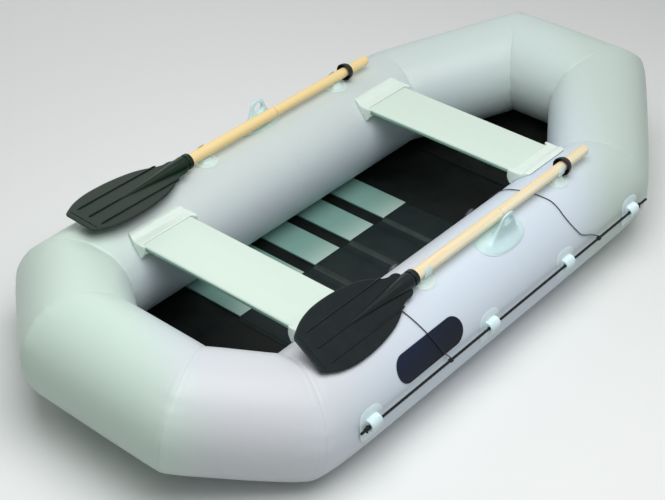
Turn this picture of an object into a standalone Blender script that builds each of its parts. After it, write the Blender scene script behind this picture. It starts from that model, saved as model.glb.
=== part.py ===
# Inflatable rowing boat on a level surface: bow towards +X, port side towards +Y, up is +Z.
# The origin lies on that surface, under the middle of the boat.
# Ten sleeves of coated fabric make an eight-sided ring of air tubes. A fabric bottom, slats, two
# thwarts held in moulded hoods, oar clips, rowlocks, a grab line and two oars complete it.

import math

import bmesh
import bpy
from mathutils import Matrix, Vector

# Hull ring
overall_length = 2.400
beam = 1.174
tube_diameter = 0.330
fabric_thickness = 0.0009
stern_corner_run = 0.2115
stern_port_width = 0.147
stern_starboard_width = 0.2345
stern_rise = 0.069
bow_corner_run = 0.3800
bow_port_width = 0.1575
bow_starboard_width = 0.1765
bow_rise = 0.0886
seam_draw = 0.003
seam_reach = 0.040
tube_sides = 32
touch_gap = 0.0003

# Places along the straight side tubes, as shares of the way from stern corner to bow corner
panel_seam_share = 0.5604
aft_thwart_share = 0.1701
fore_thwart_share = 0.8610
slat_start_share = 0.2452
slat_pitch_share = 0.1167
collar_shares = (0.3331, 0.3203)
clip_shares = (0.3744, 0.7985)
ring_shares = (0.8266, 0.8072)
rowlock_share = 0.5739
shaft_joint_share = 0.5942
handle_end_share = 0.9067
holder_shares = (0.0808, 0.4379, 0.7004, 0.9499)
patch_share = 0.2567
valve_shares = (0.4217, 0.6787)

# Bulkheads inside the side tubes
bulkhead_rim = 0.020
bulkhead_crown = 0.018
bulkhead_thickness = 0.0012

# Bottom and slatted floor
bottom_height = 0.0035
bottom_thickness = 0.0010
slat_count = 5
slat_thickness = 0.008
slat_edge_radius = 0.0025
slat_width_share = 0.70
sleeve_thickness = 0.0010
sleeve_skirt_share = 0.23
sleeve_port_edge_share = 0.309

# Thwarts and their hoods
thwart_drop = 0.026
thwart_thickness = 0.018
thwart_width = 0.196
thwart_edge_radius = 0.004
hood_grip = 0.0350
hood_wall = 0.0045
hood_side_wall = 0.012
hood_outer_angle = math.radians(115.0)
hood_outer_height = 0.003
hood_skirt_drop = 0.020
hood_end_taper = 0.016
hood_corner_radius = 0.014

# Oars
oar_outboard = 0.0104
oar_rise = 0.0345
lower_shaft_radius = 0.0182
upper_shaft_radius = 0.0165
shaft_joint_taper = 0.012
handle_end_round = 0.006
spigot_radius = 0.0110
spigot_length = 0.100
spigot_clearance = 0.0005
shaft_sides = 16
collar_radius = 0.0250
collar_width = 0.018
collar_groove_width = 0.005
collar_groove_depth = 0.003
shaft_socket_depth = 0.060
blade_length = 0.425
blade_width = 0.191
blade_start = 0.036
blade_thickness = 0.0045
blade_tip_lift = 0.002
spine_length = 0.300
spine_end_radius = 0.0045
rib_width = 0.0060
rib_rise = 0.0030
rib_offset = 0.0480
port_blade_roll = math.radians(1.5)
starboard_blade_roll = math.radians(33.0)
ring_length = 0.026
ring_radius = 0.0320
ring_lip = 0.0045
ring_hub_radius = 0.0215
ring_web = 0.0060

# Oar clips
clip_pad_radius = 0.040
clip_pad_thickness = 0.0020
clip_width = 0.022
clip_wall = 0.0042
clip_exit_angle = math.radians(150.0)
clip_grip_angle = math.radians(83.0)
clip_tongue_length = 0.012
clip_stem_width = 0.020

# Rowlocks
rowlock_pad_length = 0.196
rowlock_pad_width = 0.100
rowlock_pad_turn = math.radians(2.5)
rowlock_pad_thickness = 0.004
rowlock_fin_outboard = 0.0500
rowlock_fin_thickness = 0.009
rowlock_fin_rise = 0.080
rowlock_fin_base = 0.150
rowlock_fin_crown = 0.028
rowlock_slot_length = 0.034
rowlock_slot_height = 0.020
rowlock_slot_drop = 0.029

# Grab line and its holders
grab_line_radius = 0.0040
grab_line_angle = math.radians(7.0)
grab_line_standoff = 0.0115
holder_pad_length = 0.094
holder_pad_width = 0.080
holder_pad_thickness = 0.0020
holder_barrel_length = 0.044
holder_barrel_radius = 0.0175
holder_barrel_height = 0.0050
holder_bore_clearance = 0.0006
knot_radius = 0.0085
knot_length = 0.020
knot_tail = 0.026

# Name patch, left plain
patch_length = 0.292
patch_width = 0.100
patch_angle = math.radians(28.0)
patch_thickness = 0.0008

# Tether cords
tether_radius = 0.0015
tether_points = 44
tether_knot_swell = 1.8

# Air valves
valve_angle = math.radians(165.0)
valve_pad_radius = 0.034
valve_pad_thickness = 0.0030
valve_neck_radius = 0.0170
valve_neck_depth = 0.012
valve_neck_rise = 0.0060
valve_bore_radius = 0.0110
valve_cap_radius = 0.0235
valve_cap_height = 0.0100
valve_cap_grips = 12
valve_cap_grip_depth = 0.0015
valve_cap_edge = 0.0020

# Sizes that follow from those above
tube_radius = tube_diameter / 2
facet_half_angle = math.pi / tube_sides
rim_radius = tube_radius / math.cos(facet_half_angle)
side_offset = beam / 2 - tube_radius
end_station = overall_length / 2 - tube_radius
stern_corner = Vector((stern_corner_run - end_station, side_offset, tube_radius))
stern_ends = {1: Vector((-end_station, stern_port_width, tube_radius + stern_rise)),
              -1: Vector((-end_station, stern_starboard_width, tube_radius + stern_rise))}
bow_corner = Vector((end_station - bow_corner_run, side_offset, tube_radius))
bow_ends = {1: Vector((end_station, bow_port_width, tube_radius + bow_rise)),
            -1: Vector((end_station, bow_starboard_width, tube_radius + bow_rise))}


def along_side(share):
    """A station along the boat, at a share of the way from the stern corner to the bow corner."""
    return stern_corner.x + (bow_corner.x - stern_corner.x) * share


panel_seam = Vector((along_side(panel_seam_share), side_offset, tube_radius))
thwart_top = tube_diameter - thwart_drop
oar_offset = side_offset + oar_outboard
oar_height = tube_diameter + oar_rise
collar_stations = {side: along_side(share) for side, share in zip((1, -1), collar_shares)}
shaft_joint_station = along_side(shaft_joint_share)
handle_end_station = along_side(handle_end_share)
clip_stations = [along_side(share) for share in clip_shares]
ring_stations = {side: along_side(share) for side, share in zip((1, -1), ring_shares)}
rowlock_fin_offset = side_offset + rowlock_fin_outboard
rowlock_fin_top = tube_diameter + rowlock_fin_rise
holder_stations = [along_side(share) for share in holder_shares]
slat_pitch = along_side(slat_pitch_share) - stern_corner.x
slat_width = slat_pitch * slat_width_share

SIDES = (("port", 1), ("starboard", -1))


def clear_scene():
    """Take away whatever objects the open file holds."""
    for old in list(bpy.data.objects):
        bpy.data.objects.remove(old, do_unlink=True)


def finish(name, colour, roughness, metallic=0.0):
    """A plain surface finish, shared by the pieces made of it."""
    material = bpy.data.materials.get(name)
    if material is None:
        material = bpy.data.materials.new(name)
        material.use_nodes = True
        shader = material.node_tree.nodes["Principled BSDF"]
        shader.inputs["Base Color"].default_value = (*colour, 1.0)
        shader.inputs["Roughness"].default_value = roughness
        shader.inputs["Metallic"].default_value = metallic
    return material


def hull_fabric():
    return finish("hull_fabric", (0.66, 0.68, 0.70), 0.42)


def bottom_fabric():
    return finish("bottom_fabric", (0.03, 0.035, 0.035), 0.60)


def baffle_fabric():
    return finish("baffle_fabric", (0.55, 0.57, 0.58), 0.55)


def slat_board():
    return finish("slat_board", (0.50, 0.62, 0.55), 0.50)


def sleeve_fabric():
    return finish("sleeve_fabric", (0.035, 0.045, 0.045), 0.70)


def thwart_board():
    return finish("thwart_board", (0.72, 0.85, 0.76), 0.45)


def soft_moulding():
    return finish("soft_moulding", (0.66, 0.82, 0.76), 0.35)


def blade_plastic():
    return finish("blade_plastic", (0.015, 0.022, 0.022), 0.38)


def varnished_wood():
    return finish("varnished_wood", (0.80, 0.60, 0.36), 0.35)


def black_rubber():
    return finish("black_rubber", (0.012, 0.012, 0.012), 0.55)


def black_rope():
    return finish("black_rope", (0.012, 0.013, 0.013), 0.75)


def patch_fabric():
    return finish("patch_fabric", (0.015, 0.025, 0.07), 0.40)


def valve_plastic():
    return finish("valve_plastic", (0.62, 0.66, 0.66), 0.40)


def add_piece(name, mesh, material, sharp_angle=math.radians(35.0)):
    """Put a finished mesh in the scene under its piece's name."""
    mesh.name = name
    mesh.shade_smooth()
    mesh.set_sharp_from_angle(angle=sharp_angle)
    mesh.materials.clear()
    mesh.materials.append(material)
    piece = bpy.data.objects.new(name, mesh)
    bpy.context.scene.collection.objects.link(piece)
    return piece


def mesh_from_rings(rings, closed_run=False):
    """Skin rings of equally many points; an open run of rings is capped at both ends."""
    form = bmesh.new()
    loops = [[form.verts.new(point) for point in ring] for ring in rings]
    following = loops[1:] + ([loops[0]] if closed_run else [])
    for near, far in zip(loops, following):
        for index in range(len(near)):
            after = (index + 1) % len(near)
            form.faces.new((near[index], near[after], far[after], far[index]))
    if not closed_run:
        form.faces.new(list(reversed(loops[0])))
        form.faces.new(loops[-1])
    return close_form(form)


def close_form(form):
    """Point every face of a closed form outwards and hand it back as a mesh."""
    bmesh.ops.recalc_face_normals(form, faces=form.faces)
    mesh = bpy.data.meshes.new("form")
    form.to_mesh(mesh)
    form.free()
    return mesh


def prism(outline, to_world, low, high):
    """Extrude a flat outline from one level to another along the third axis of to_world."""
    rings = [[to_world @ Vector((u, v, level)) for u, v in outline] for level in (low, high)]
    return mesh_from_rings(rings)


def turned(profile, to_world, sides, closed_run=False):
    """Turn a profile of (radius, height) points about the third axis of to_world."""
    angles = [2 * math.pi * (index + 0.5) / sides for index in range(sides)]
    rings = [[to_world @ Vector((radius * math.cos(a), radius * math.sin(a), height))
              for a in angles] for radius, height in profile]
    return mesh_from_rings(rings, closed_run)


def combined(mesh, other, operation):
    """Join, cut or trim one closed mesh with another."""
    base = bpy.data.objects.new("base", mesh)
    tool = bpy.data.objects.new("tool", other)
    for helper in (base, tool):
        bpy.context.scene.collection.objects.link(helper)
    step = base.modifiers.new("step", "BOOLEAN")
    step.operation = operation
    step.solver = "EXACT"
    step.object = tool
    graph = bpy.context.evaluated_depsgraph_get()
    result = bpy.data.meshes.new_from_object(base.evaluated_get(graph))
    for helper in (base, tool):
        bpy.data.objects.remove(helper, do_unlink=True)
    return result


def rounded_outline(corners, radius, steps=3):
    """Replace each corner of a flat outline by an arc-like curve that starts radius away."""
    outline = []
    for index, corner in enumerate(corners):
        here = Vector(corner)
        before = (Vector(corners[index - 1]) - here).normalized()
        after = (Vector(corners[(index + 1) % len(corners)]) - here).normalized()
        for step in range(steps + 1):
            share = step / steps
            pull = before * (1 - share) ** 2 + after * share ** 2
            outline.append(tuple(here + radius * pull))
    return outline


def on_tube(side, station, angle, height):
    """A point at a height over a side tube; the angle runs from outboard, over the top, inboard."""
    reach = rim_radius + height
    return Vector((station, side * (side_offset + reach * math.cos(angle)),
                   tube_radius + reach * math.sin(angle)))


def tube_frame(side, station, angle):
    """Axes on the tube's skin: along the boat, round the tube, and out of the skin."""
    along = Vector((side, 0, 0))
    out = Vector((0, side * math.cos(angle), math.sin(angle)))
    round_tube = out.cross(along)
    frame = Matrix((along, round_tube, out)).transposed().to_4x4()
    frame.translation = on_tube(side, station, angle, touch_gap)
    return frame


def tube_pad(side, station, angle, outline, low, high):
    """A layer on a side tube's skin, from a low to a high level over it, cut to an outline."""
    middle = Vector((station, side * side_offset, tube_radius))
    edges = facet_vectors(Vector((0, side, 0)), Vector((0, 0, 1)))
    reach = max(abs(v) for _, v in outline) / tube_radius + 2 * facet_half_angle
    first = math.floor((angle - reach) / (2 * facet_half_angle))
    last = math.ceil((angle + reach) / (2 * facet_half_angle))
    covered = [edges[step % tube_sides] for step in range(first, last)]
    section = [(tube_plug() + low) * edge for edge in covered]
    section += [(tube_plug() + high) * edge for edge in reversed(covered)]
    length = 2 * max(u for u, _ in outline)
    layer = mesh_from_rings([[middle + point + Vector((end, 0, 0)) for point in section]
                             for end in (-length, length)])
    frame = tube_frame(side, station, angle)
    frame.translation = middle
    stamp = prism(outline, frame, tube_radius / 2, beam / 2)
    return combined(stamp, layer, "INTERSECT")


def oval(length, width, points, power=1.0):
    """An oval outline; a power above 1 draws it towards a diamond."""
    outline = []
    for index in range(points):
        turn = 2 * math.pi * index / points
        cosine, sine = math.cos(turn), math.sin(turn)
        outline.append((length / 2 * math.copysign(abs(cosine) ** power, cosine),
                        width / 2 * math.copysign(abs(sine) ** power, sine)))
    return outline


def stadium(length, width, steps):
    """A bar with half-round ends."""
    straight = length / 2 - width / 2
    outline = []
    for end, first in ((1, -math.pi / 2), (-1, math.pi / 2)):
        for step in range(steps + 1):
            turn = first + math.pi * step / steps
            outline.append((end * straight + width / 2 * math.cos(turn),
                            width / 2 * math.sin(turn)))
    return outline


def tube_plug():
    """The corner radius of what clears a side tube by the gap that touching pieces have."""
    return rim_radius + touch_gap / math.cos(facet_half_angle)


def tube_cutter(side, station, reach, height):
    """A length of solid tube, to cut what sits on a side tube at a height over its skin."""
    middle = Vector((station, side * side_offset, tube_radius))
    edges = facet_vectors(Vector((0, side, 0)), Vector((0, 0, 1)))
    return mesh_from_rings([[middle + (tube_plug() + height) * edge + Vector((end, 0, 0))
                             for edge in edges] for end in (-reach, reach)])


def facet_vectors(outward, upward):
    """The directions of a tube's edges, with a flat facing down, up, in and out."""
    angles = [facet_half_angle * (2 * index + 1) for index in range(tube_sides)]
    return [outward * math.cos(a) + upward * math.sin(a) for a in angles]


def reflected(direction, normal):
    """Carry a direction across a mitre plane, so that edges meet on both sides of the seam."""
    return direction - 2 * direction.dot(normal) * normal


def sleeve_mesh(start, end, start_normal, end_normal, edges, start_draw, end_draw, far_edges=None):
    """One open-ended fabric sleeve, cut on its two seam planes and drawn in at its seams."""
    far_edges = far_edges or edges
    axis = (end - start).normalized()
    length = (end - start).length
    stations = ((0, start_draw, edges), (seam_reach, 0, edges),
                (length - seam_reach, 0, far_edges), (length, end_draw, far_edges))
    walls = []
    for inset in (0, fabric_thickness):
        rings = []
        for distance, draw, ring_edges in stations:
            radius = rim_radius - draw - inset
            ring = []
            for edge in ring_edges:
                first = (touch_gap / 2 - radius * edge.dot(start_normal)) / axis.dot(start_normal)
                last = (-touch_gap / 2 - radius * edge.dot(end_normal)) / axis.dot(end_normal)
                run = first + (length + last - first) * distance / length
                ring.append(start + radius * edge + run * axis)
            rings.append(ring)
        walls.append(rings)
    return mesh_from_rings(walls[0] + list(reversed(walls[1])), closed_run=True)


def mirrored(mesh, side):
    """The port form as it is, or its mirror image for the starboard side."""
    if side > 0:
        return mesh
    form = bmesh.new()
    form.from_mesh(mesh)
    bmesh.ops.scale(form, vec=(1, -1, 1), verts=form.verts)
    return close_form(form)


def across(point):
    """The same point on the other side of the boat."""
    return Vector((point.x, -point.y, point.z))


def hull_runs(side):
    """The fore and aft half of one side of the ring, told as for port, with edges that match."""
    runs = []
    for end_name, corner, end in (("fore", bow_corner, bow_ends[side]),
                                  ("aft", stern_corner, stern_ends[side])):
        side_axis = (corner - panel_seam).normalized()
        slant_axis = (end - corner).normalized()
        end_axis = Vector((0, -1, 0))
        first_mitre = (side_axis + slant_axis).normalized()
        second_mitre = (slant_axis + end_axis).normalized()
        side_edges = facet_vectors(Vector((0, 1, 0)), Vector((0, 0, 1)))
        slant_edges = [reflected(edge, first_mitre) for edge in side_edges]
        end_edges = [reflected(edge, second_mitre) for edge in slant_edges]
        runs.append((end_name, corner, end, side_axis, first_mitre, second_mitre,
                     side_edges, slant_edges, end_edges))
    return runs


def add_hull():
    """The ten sleeves of the tube ring."""
    names = {"fore": "bow", "aft": "stern"}
    for side_name, side in SIDES:
        for run in hull_runs(side):
            (end_name, corner, end, side_axis, first_mitre, second_mitre,
             side_edges, slant_edges, _) = run
            mesh = sleeve_mesh(panel_seam, corner, side_axis, first_mitre, side_edges, 0, seam_draw)
            mesh = mirrored(mesh, side)
            if side < 0:
                mesh = with_valve_hole(mesh, end_name)
            add_piece(f"{side_name}_{end_name}_tube", mesh, hull_fabric())
            mesh = sleeve_mesh(corner, end, first_mitre, second_mitre, slant_edges,
                               seam_draw, seam_draw)
            add_piece(f"{names[end_name]}_{side_name}_tube", mirrored(mesh, side), hull_fabric())
    for port_run, starboard_run in zip(hull_runs(1), hull_runs(-1)):
        end_name, _, start, _, _, near_mitre, _, _, near_edges = port_run
        _, _, end, _, _, mitre, _, _, far_edges = starboard_run
        far_mitre = Vector((-mitre.x, mitre.y, -mitre.z))
        mesh = sleeve_mesh(start, across(end), near_mitre, far_mitre, near_edges,
                           seam_draw, seam_draw, [across(edge) for edge in far_edges])
        add_piece(f"{names[end_name]}_tube", mesh, hull_fabric())


def valve_station(end_name):
    return along_side(valve_shares[0] if end_name == "aft" else valve_shares[1])


def with_valve_hole(mesh, end_name):
    """Cut the round hole that a valve's neck passes through."""
    frame = tube_frame(-1, valve_station(end_name), valve_angle)
    hole = valve_neck_radius + touch_gap
    cutter = turned(((hole, -valve_neck_depth), (hole, valve_neck_rise)), frame, shaft_sides)
    return combined(mesh, cutter, "DIFFERENCE")


def add_bulkheads():
    """A dished diaphragm at each panel seam parts the ring into a fore and an aft chamber."""
    rim = rim_radius - fabric_thickness - touch_gap
    inner = rim - bulkhead_thickness
    for side_name, side in SIDES:
        frame = Matrix.Translation((panel_seam.x, side * side_offset, tube_radius))
        frame = frame @ Matrix.Rotation(math.pi / 2, 4, "Y")
        profile = ((rim, 0), (rim, bulkhead_rim), (inner, bulkhead_rim),
                   (inner, bulkhead_thickness), (inner / 2, bulkhead_crown + bulkhead_thickness))
        under = ((inner / 2, bulkhead_crown),)
        rings = list(profile)
        mesh = dished(rings, under[0], frame)
        add_piece(f"{side_name}_bulkhead", mesh, baffle_fabric())


def dished(profile, under, frame):
    """A turned cup with a flat middle, closed by a face on each side of its thin wall."""
    form = bmesh.new()
    angles = [facet_half_angle * (2 * index + 1) for index in range(tube_sides)]

    def ring(radius, height):
        return [form.verts.new(frame @ Vector((radius * math.cos(a), radius * math.sin(a), height)))
                for a in angles]

    loops = [ring(*under)] + [ring(*point) for point in profile]
    for near, far in zip(loops, loops[1:]):
        for index in range(tube_sides):
            after = (index + 1) % tube_sides
            form.faces.new((near[index], near[after], far[after], far[index]))
    form.faces.new(list(reversed(loops[0])))
    form.faces.new(loops[-1])
    return close_form(form)


def tube_inset(height):
    """How far inboard of a tube's axis its faceted underside lies at a height over its lowest flat."""
    low, angle = 0, facet_half_angle
    near = rim_radius * math.sin(angle)
    while True:
        angle += 2 * facet_half_angle
        high = tube_radius - rim_radius * math.cos(angle)
        far = rim_radius * math.sin(angle)
        if height <= high:
            return near + (far - near) * (height - low) / (high - low)
        low, near = high, far


def bottom_corners(height, side):
    """Where the bottom's edges turn, at a height: aft end, aft, fore and fore end, as for port."""
    outward, upward = Vector((0, 1, 0)), Vector((0, 0, 1))
    inset = tube_inset(height) + touch_gap
    corners = []
    for run in hull_runs(side):
        _, corner, end, side_axis, first_mitre, second_mitre, _, _, _ = run
        offset = -outward * inset - upward * (tube_radius - height)
        place = offset - side_axis * offset.dot(first_mitre) / side_axis.dot(first_mitre)
        corners.append(corner + place)
        slant_axis = (end - corner).normalized()
        offset = reflected(offset, first_mitre)
        place = offset - slant_axis * offset.dot(second_mitre) / slant_axis.dot(second_mitre)
        corners.append(end + place)
    fore, fore_end, aft, aft_end = corners
    return aft_end, aft, fore, fore_end


def panel_ring(height, index):
    """One bottom panel's corners at a height, in turn, half a gap short of each welded seam."""
    ends = []
    for _, side in SIDES:
        corners = bottom_corners(height, side)
        near, far = corners[index], corners[index + 1]
        run = far - near
        seam = run * (touch_gap / 2 / run.x)
        ends.append((near + seam, far - seam))
    (port_near, port_far), (starboard_near, starboard_far) = ends
    return [port_near, port_far, across(starboard_far), across(starboard_near)]


def add_bottom():
    """The fabric bottom in three welded panels: one flat, and one rising at either end."""
    for index, name in enumerate(("stern_bottom_panel", "bottom_panel", "bow_bottom_panel")):
        rings = [panel_ring(height, index)
                 for height in (bottom_height, bottom_height + bottom_thickness)]
        add_piece(name, mesh_from_rings(rings), bottom_fabric())


def slat_low_edge(index):
    return along_side(slat_start_share) + index * slat_pitch


def floor_levels():
    """The heights of the floor: bottom's top, slat's underside and slat's top."""
    base = bottom_height + bottom_thickness
    under = base + touch_gap
    return base, under, under + slat_thickness


def slat_half_length():
    """Slats reach to the underside of the tubes at the height of their top."""
    _, _, top = floor_levels()
    return side_offset - tube_inset(top) - touch_gap


def add_slats():
    """Stiff slats across the floor, cut to end at the side tubes."""
    _, under, top = floor_levels()
    half_length = slat_half_length()
    for index in range(slat_count):
        start = slat_low_edge(index)
        corners = ((start, under), (start + slat_width, under), (start + slat_width, top),
                   (start, top))
        outline = rounded_outline(corners, slat_edge_radius, 2)
        frame = Matrix(((1, 0, 0, 0), (0, 0, 1, 0), (0, 1, 0, 0), (0, 0, 0, 1)))
        mesh = prism(outline, frame, -half_length, half_length)
        add_piece(f"floor_slat_{index + 1}", mesh, slat_board())


def add_slat_sleeve():
    """Black fabric sewn over the starboard part of the slats, down to the bottom between them."""
    base, _, top = floor_levels()
    low = base + touch_gap
    high = top + touch_gap
    skirt = (slat_pitch - slat_width) * sleeve_skirt_share
    path = []
    for index in range(slat_count):
        start = slat_low_edge(index)
        end = start + slat_width
        path += [(start - skirt, low), (start - touch_gap, high), (end + touch_gap, high),
                 (end + skirt, low)]
    upper = [(station, height + sleeve_thickness) for station, height in path]
    outline = path + list(reversed(upper))
    frame = Matrix(((1, 0, 0, 0), (0, 0, 1, 0), (0, 1, 0, 0), (0, 0, 0, 1)))
    starboard_edge = tube_inset(high + sleeve_thickness) + touch_gap - side_offset
    port_edge = slat_half_length() * sleeve_port_edge_share
    mesh = prism(outline, frame, starboard_edge, port_edge)
    add_piece("slat_sleeve", mesh, sleeve_fabric())


def thwart_half_length():
    """The board stops short of the tube, which is nearest at the board's lower edge."""
    rise = thwart_top - thwart_thickness - tube_radius
    return side_offset - math.sqrt(rim_radius ** 2 - rise ** 2) - hood_wall


def add_thwart(name, centre):
    """A seat board with rounded long edges."""
    low = thwart_top - thwart_thickness
    corners = ((centre - thwart_width / 2, low), (centre + thwart_width / 2, low),
               (centre + thwart_width / 2, thwart_top), (centre - thwart_width / 2, thwart_top))
    outline = rounded_outline(corners, thwart_edge_radius)
    frame = Matrix(((1, 0, 0, 0), (0, 0, 1, 0), (0, 1, 0, 0), (0, 0, 0, 1)))
    half = thwart_half_length()
    add_piece(name, prism(outline, frame, -half, half), thwart_board())


def add_hood(name, side, centre):
    """A moulded pocket, bonded to the tube's shoulder, that holds one end of a thwart."""
    lip_top = thwart_top + touch_gap + hood_wall
    lip_low = thwart_top - thwart_thickness - touch_gap - hood_wall
    shoulder = on_tube(1, 0, hood_outer_angle, hood_outer_height)
    root = on_tube(1, 0, hood_outer_angle, -hood_wall)
    skirt_height = lip_low - hood_skirt_drop
    skirt_drop = skirt_height - tube_radius
    skirt_offset = side_offset - math.sqrt(tube_plug() ** 2 - skirt_drop ** 2)
    lip_offset = thwart_half_length() - hood_grip
    crest_offset = (lip_offset + shoulder.y) / 2
    section = ((lip_offset, lip_low), (lip_offset, lip_top), (crest_offset, lip_top),
               (shoulder.y, shoulder.z), (root.y, root.z),
               (skirt_offset + hood_wall, skirt_height), (skirt_offset - hood_wall, skirt_height))
    half_lip = thwart_width / 2 + hood_side_wall
    half_back = half_lip - hood_end_taper
    upright = Matrix(((0, 0, 1, centre), (side, 0, 0, 0), (0, 1, 0, 0), (0, 0, 0, 1)))
    mesh = prism(section, upright, -half_lip, half_lip)
    plan = ((-half_lip, lip_offset - hood_wall), (half_lip, lip_offset - hood_wall),
            (half_lip, crest_offset), (half_back, shoulder.y + hood_wall),
            (-half_back, shoulder.y + hood_wall), (-half_lip, crest_offset))
    level = Matrix(((1, 0, 0, centre), (0, side, 0, 0), (0, 0, 1, 0), (0, 0, 0, 1)))
    trim = prism(rounded_outline(plan, hood_corner_radius), level, skirt_height - hood_wall,
                 lip_top + hood_wall)
    mesh = combined(mesh, trim, "INTERSECT")
    mesh = combined(mesh, tube_cutter(side, centre, thwart_width, 0), "DIFFERENCE")
    pocket_half = thwart_width / 2 + touch_gap
    pocket_low = thwart_top - thwart_thickness - touch_gap
    corners = ((-pocket_half, pocket_low), (pocket_half, pocket_low),
               (pocket_half, thwart_top + touch_gap), (-pocket_half, thwart_top + touch_gap))
    outline = rounded_outline(corners, thwart_edge_radius)
    inboard = Matrix(((1, 0, 0, centre), (0, 0, side, 0), (0, 1, 0, 0), (0, 0, 0, 1)))
    pocket = prism(outline, inboard, lip_offset - hood_wall,
                   thwart_half_length() + touch_gap)
    mesh = combined(mesh, pocket, "DIFFERENCE")
    add_piece(name, mesh, soft_moulding())


def add_seats():
    """Two thwarts, each held by a hood on either side."""
    for end_name, share in (("aft", aft_thwart_share), ("fore", fore_thwart_share)):
        centre = along_side(share)
        add_thwart(f"{end_name}_thwart", centre)
        for side_name, side in SIDES:
            add_hood(f"{end_name}_{side_name}_hood", side, centre)


def oar_frame(side, roll=0.0):
    """Axes of an oar: X towards the handle, Y outboard, Z up, turned about the shaft by roll."""
    frame = Matrix.Translation((0, side * oar_offset, oar_height))
    return frame @ Matrix.Rotation(roll, 4, "X")


def along_shaft(side):
    """Axes for turned oar pieces, whose third axis runs towards the handle."""
    return oar_frame(side) @ Matrix.Rotation(math.pi / 2, 4, "Y")


def add_shafts(side_name, side):
    """The lower shaft with its socket, and the upper shaft whose spigot plugs into it."""
    frame = along_shaft(side)
    foot = collar_stations[side] - shaft_socket_depth + touch_gap
    shoulder = shaft_joint_station - touch_gap / 2
    socket = spigot_radius + spigot_clearance
    depth = shoulder - spigot_length - spigot_clearance
    lower = ((lower_shaft_radius, foot), (lower_shaft_radius, shoulder - shaft_joint_taper),
             (upper_shaft_radius, shoulder), (socket, shoulder), (socket, depth))
    add_piece(f"{side_name}_lower_shaft", turned(lower, frame, shaft_sides), varnished_wood())
    seat = shaft_joint_station + touch_gap / 2
    upper = ((spigot_radius, seat - spigot_length), (spigot_radius, seat),
             (upper_shaft_radius, seat), (upper_shaft_radius, handle_end_station - handle_end_round),
             (upper_shaft_radius - handle_end_round / 2, handle_end_station))
    add_piece(f"{side_name}_upper_shaft", turned(upper, frame, shaft_sides), varnished_wood())


def add_ring(side_name, side):
    """A rubber cup ring pushed on the upper shaft, its hollow facing the blade."""
    frame = along_shaft(side)
    bore = upper_shaft_radius + touch_gap
    front = ring_stations[side]
    back = front + ring_length
    profile = ((bore, back), (bore, back - ring_web), (ring_hub_radius, back - ring_web),
               (ring_radius - ring_lip, front), (ring_radius, front),
               (ring_radius, front + ring_lip), (ring_hub_radius + ring_lip, back))
    mesh = turned(profile, frame, shaft_sides, closed_run=True)
    add_piece(f"{side_name}_oar_ring", mesh, black_rubber())


blade_outline_shares = ((0.000, 0.30), (0.025, 0.40), (0.075, 0.43), (0.115, 0.49), (0.18, 0.61),
                        (0.27, 0.76), (0.38, 0.89), (0.52, 0.98), (0.66, 1.00), (0.78, 0.95),
                        (0.87, 0.85), (0.93, 0.76), (0.975, 0.66), (1.000, 0.54))


def blade_lift(distance):
    """How far the blade has curved up out of the shaft's line, at a distance from its collar."""
    return blade_tip_lift * (distance / blade_length) ** 2


def blade_bar(frame, start, end, middle, width, low, high, steps=6):
    """A straight bar along the blade that follows the blade's curve."""
    rings = []
    for step in range(steps + 1):
        distance = start + (end - start) * step / steps
        rise = blade_lift(distance)
        half = width / 2
        rings.append([frame @ Vector((-distance, middle + across_bar, rise + level))
                      for across_bar, level in ((-half, low), (half, low), (half / 2, high),
                                                (-half / 2, high))])
    return mesh_from_rings(rings)


def add_blade(side_name, side, roll):
    """The moulded blade: a curved plate with ribs, a tapering spine and the collar of its socket."""
    collar = collar_stations[side]
    frame = oar_frame(side, roll) @ Matrix.Translation((collar, 0, 0))
    rings = []
    for run_share, width_share in blade_outline_shares:
        distance = blade_start + (blade_length - blade_start) * run_share
        half = blade_width / 2 * width_share
        rise = blade_lift(distance)
        corners = ((-half, -1), (half, -1), (half, 1), (-half, 1))
        rings.append([frame @ Vector((-distance, offset, rise + level * blade_thickness / 2))
                      for offset, level in corners])
    mesh = mesh_from_rings(rings)
    groove = collar_radius - collar_groove_depth
    neck = collar_width + collar_groove_width
    body_shares = ((0.20, 0.90), (0.36, 0.70), (0.60, 0.46), (0.82, 0.27))
    profile = [(collar_radius, 0), (collar_radius, -collar_width), (groove, -collar_width),
               (groove, -neck), (collar_radius, -neck), (collar_radius, -neck - collar_width)]
    profile += [(collar_radius * width, -spine_length * run) for run, width in body_shares]
    profile += [(spine_end_radius, -spine_length)]
    rings = []
    for radius, distance in profile:
        rise = blade_lift(-distance)
        centre = Vector((distance, 0, rise))
        ring = []
        for index in range(shaft_sides):
            angle = 2 * math.pi * (index + 0.5) / shaft_sides
            ring.append(frame @ (centre + Vector((0, radius * math.sin(angle),
                                                  radius * math.cos(angle)))))
        rings.append(ring)
    mesh = combined(mesh, mesh_from_rings(rings), "UNION")
    half_plate = blade_thickness / 2
    top = half_plate + rib_rise
    cross_start = blade_length * 0.93
    bars = [(blade_length * 0.22, cross_start, rib_offset), (blade_length * 0.22, cross_start, -rib_offset),
            (spine_length * 0.95, cross_start, 0)]
    for start, end, middle in bars:
        for direction in (1, -1):
            bar = blade_bar(frame, start, end, middle, rib_width, 0, direction * top)
            mesh = combined(mesh, bar, "UNION")
    bore = lower_shaft_radius + touch_gap
    cutter = turned(((bore, collar - shaft_socket_depth), (bore, collar + collar_width)),
                    along_shaft(side), shaft_sides)
    mesh = combined(mesh, cutter, "DIFFERENCE")
    add_piece(f"{side_name}_blade", mesh, blade_plastic())


def add_oars():
    """Two take-apart oars, lying in their clips."""
    for side_name, side in SIDES:
        roll = port_blade_roll if side > 0 else starboard_blade_roll
        add_blade(side_name, side, roll)
        add_shafts(side_name, side)
        add_ring(side_name, side)


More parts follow.
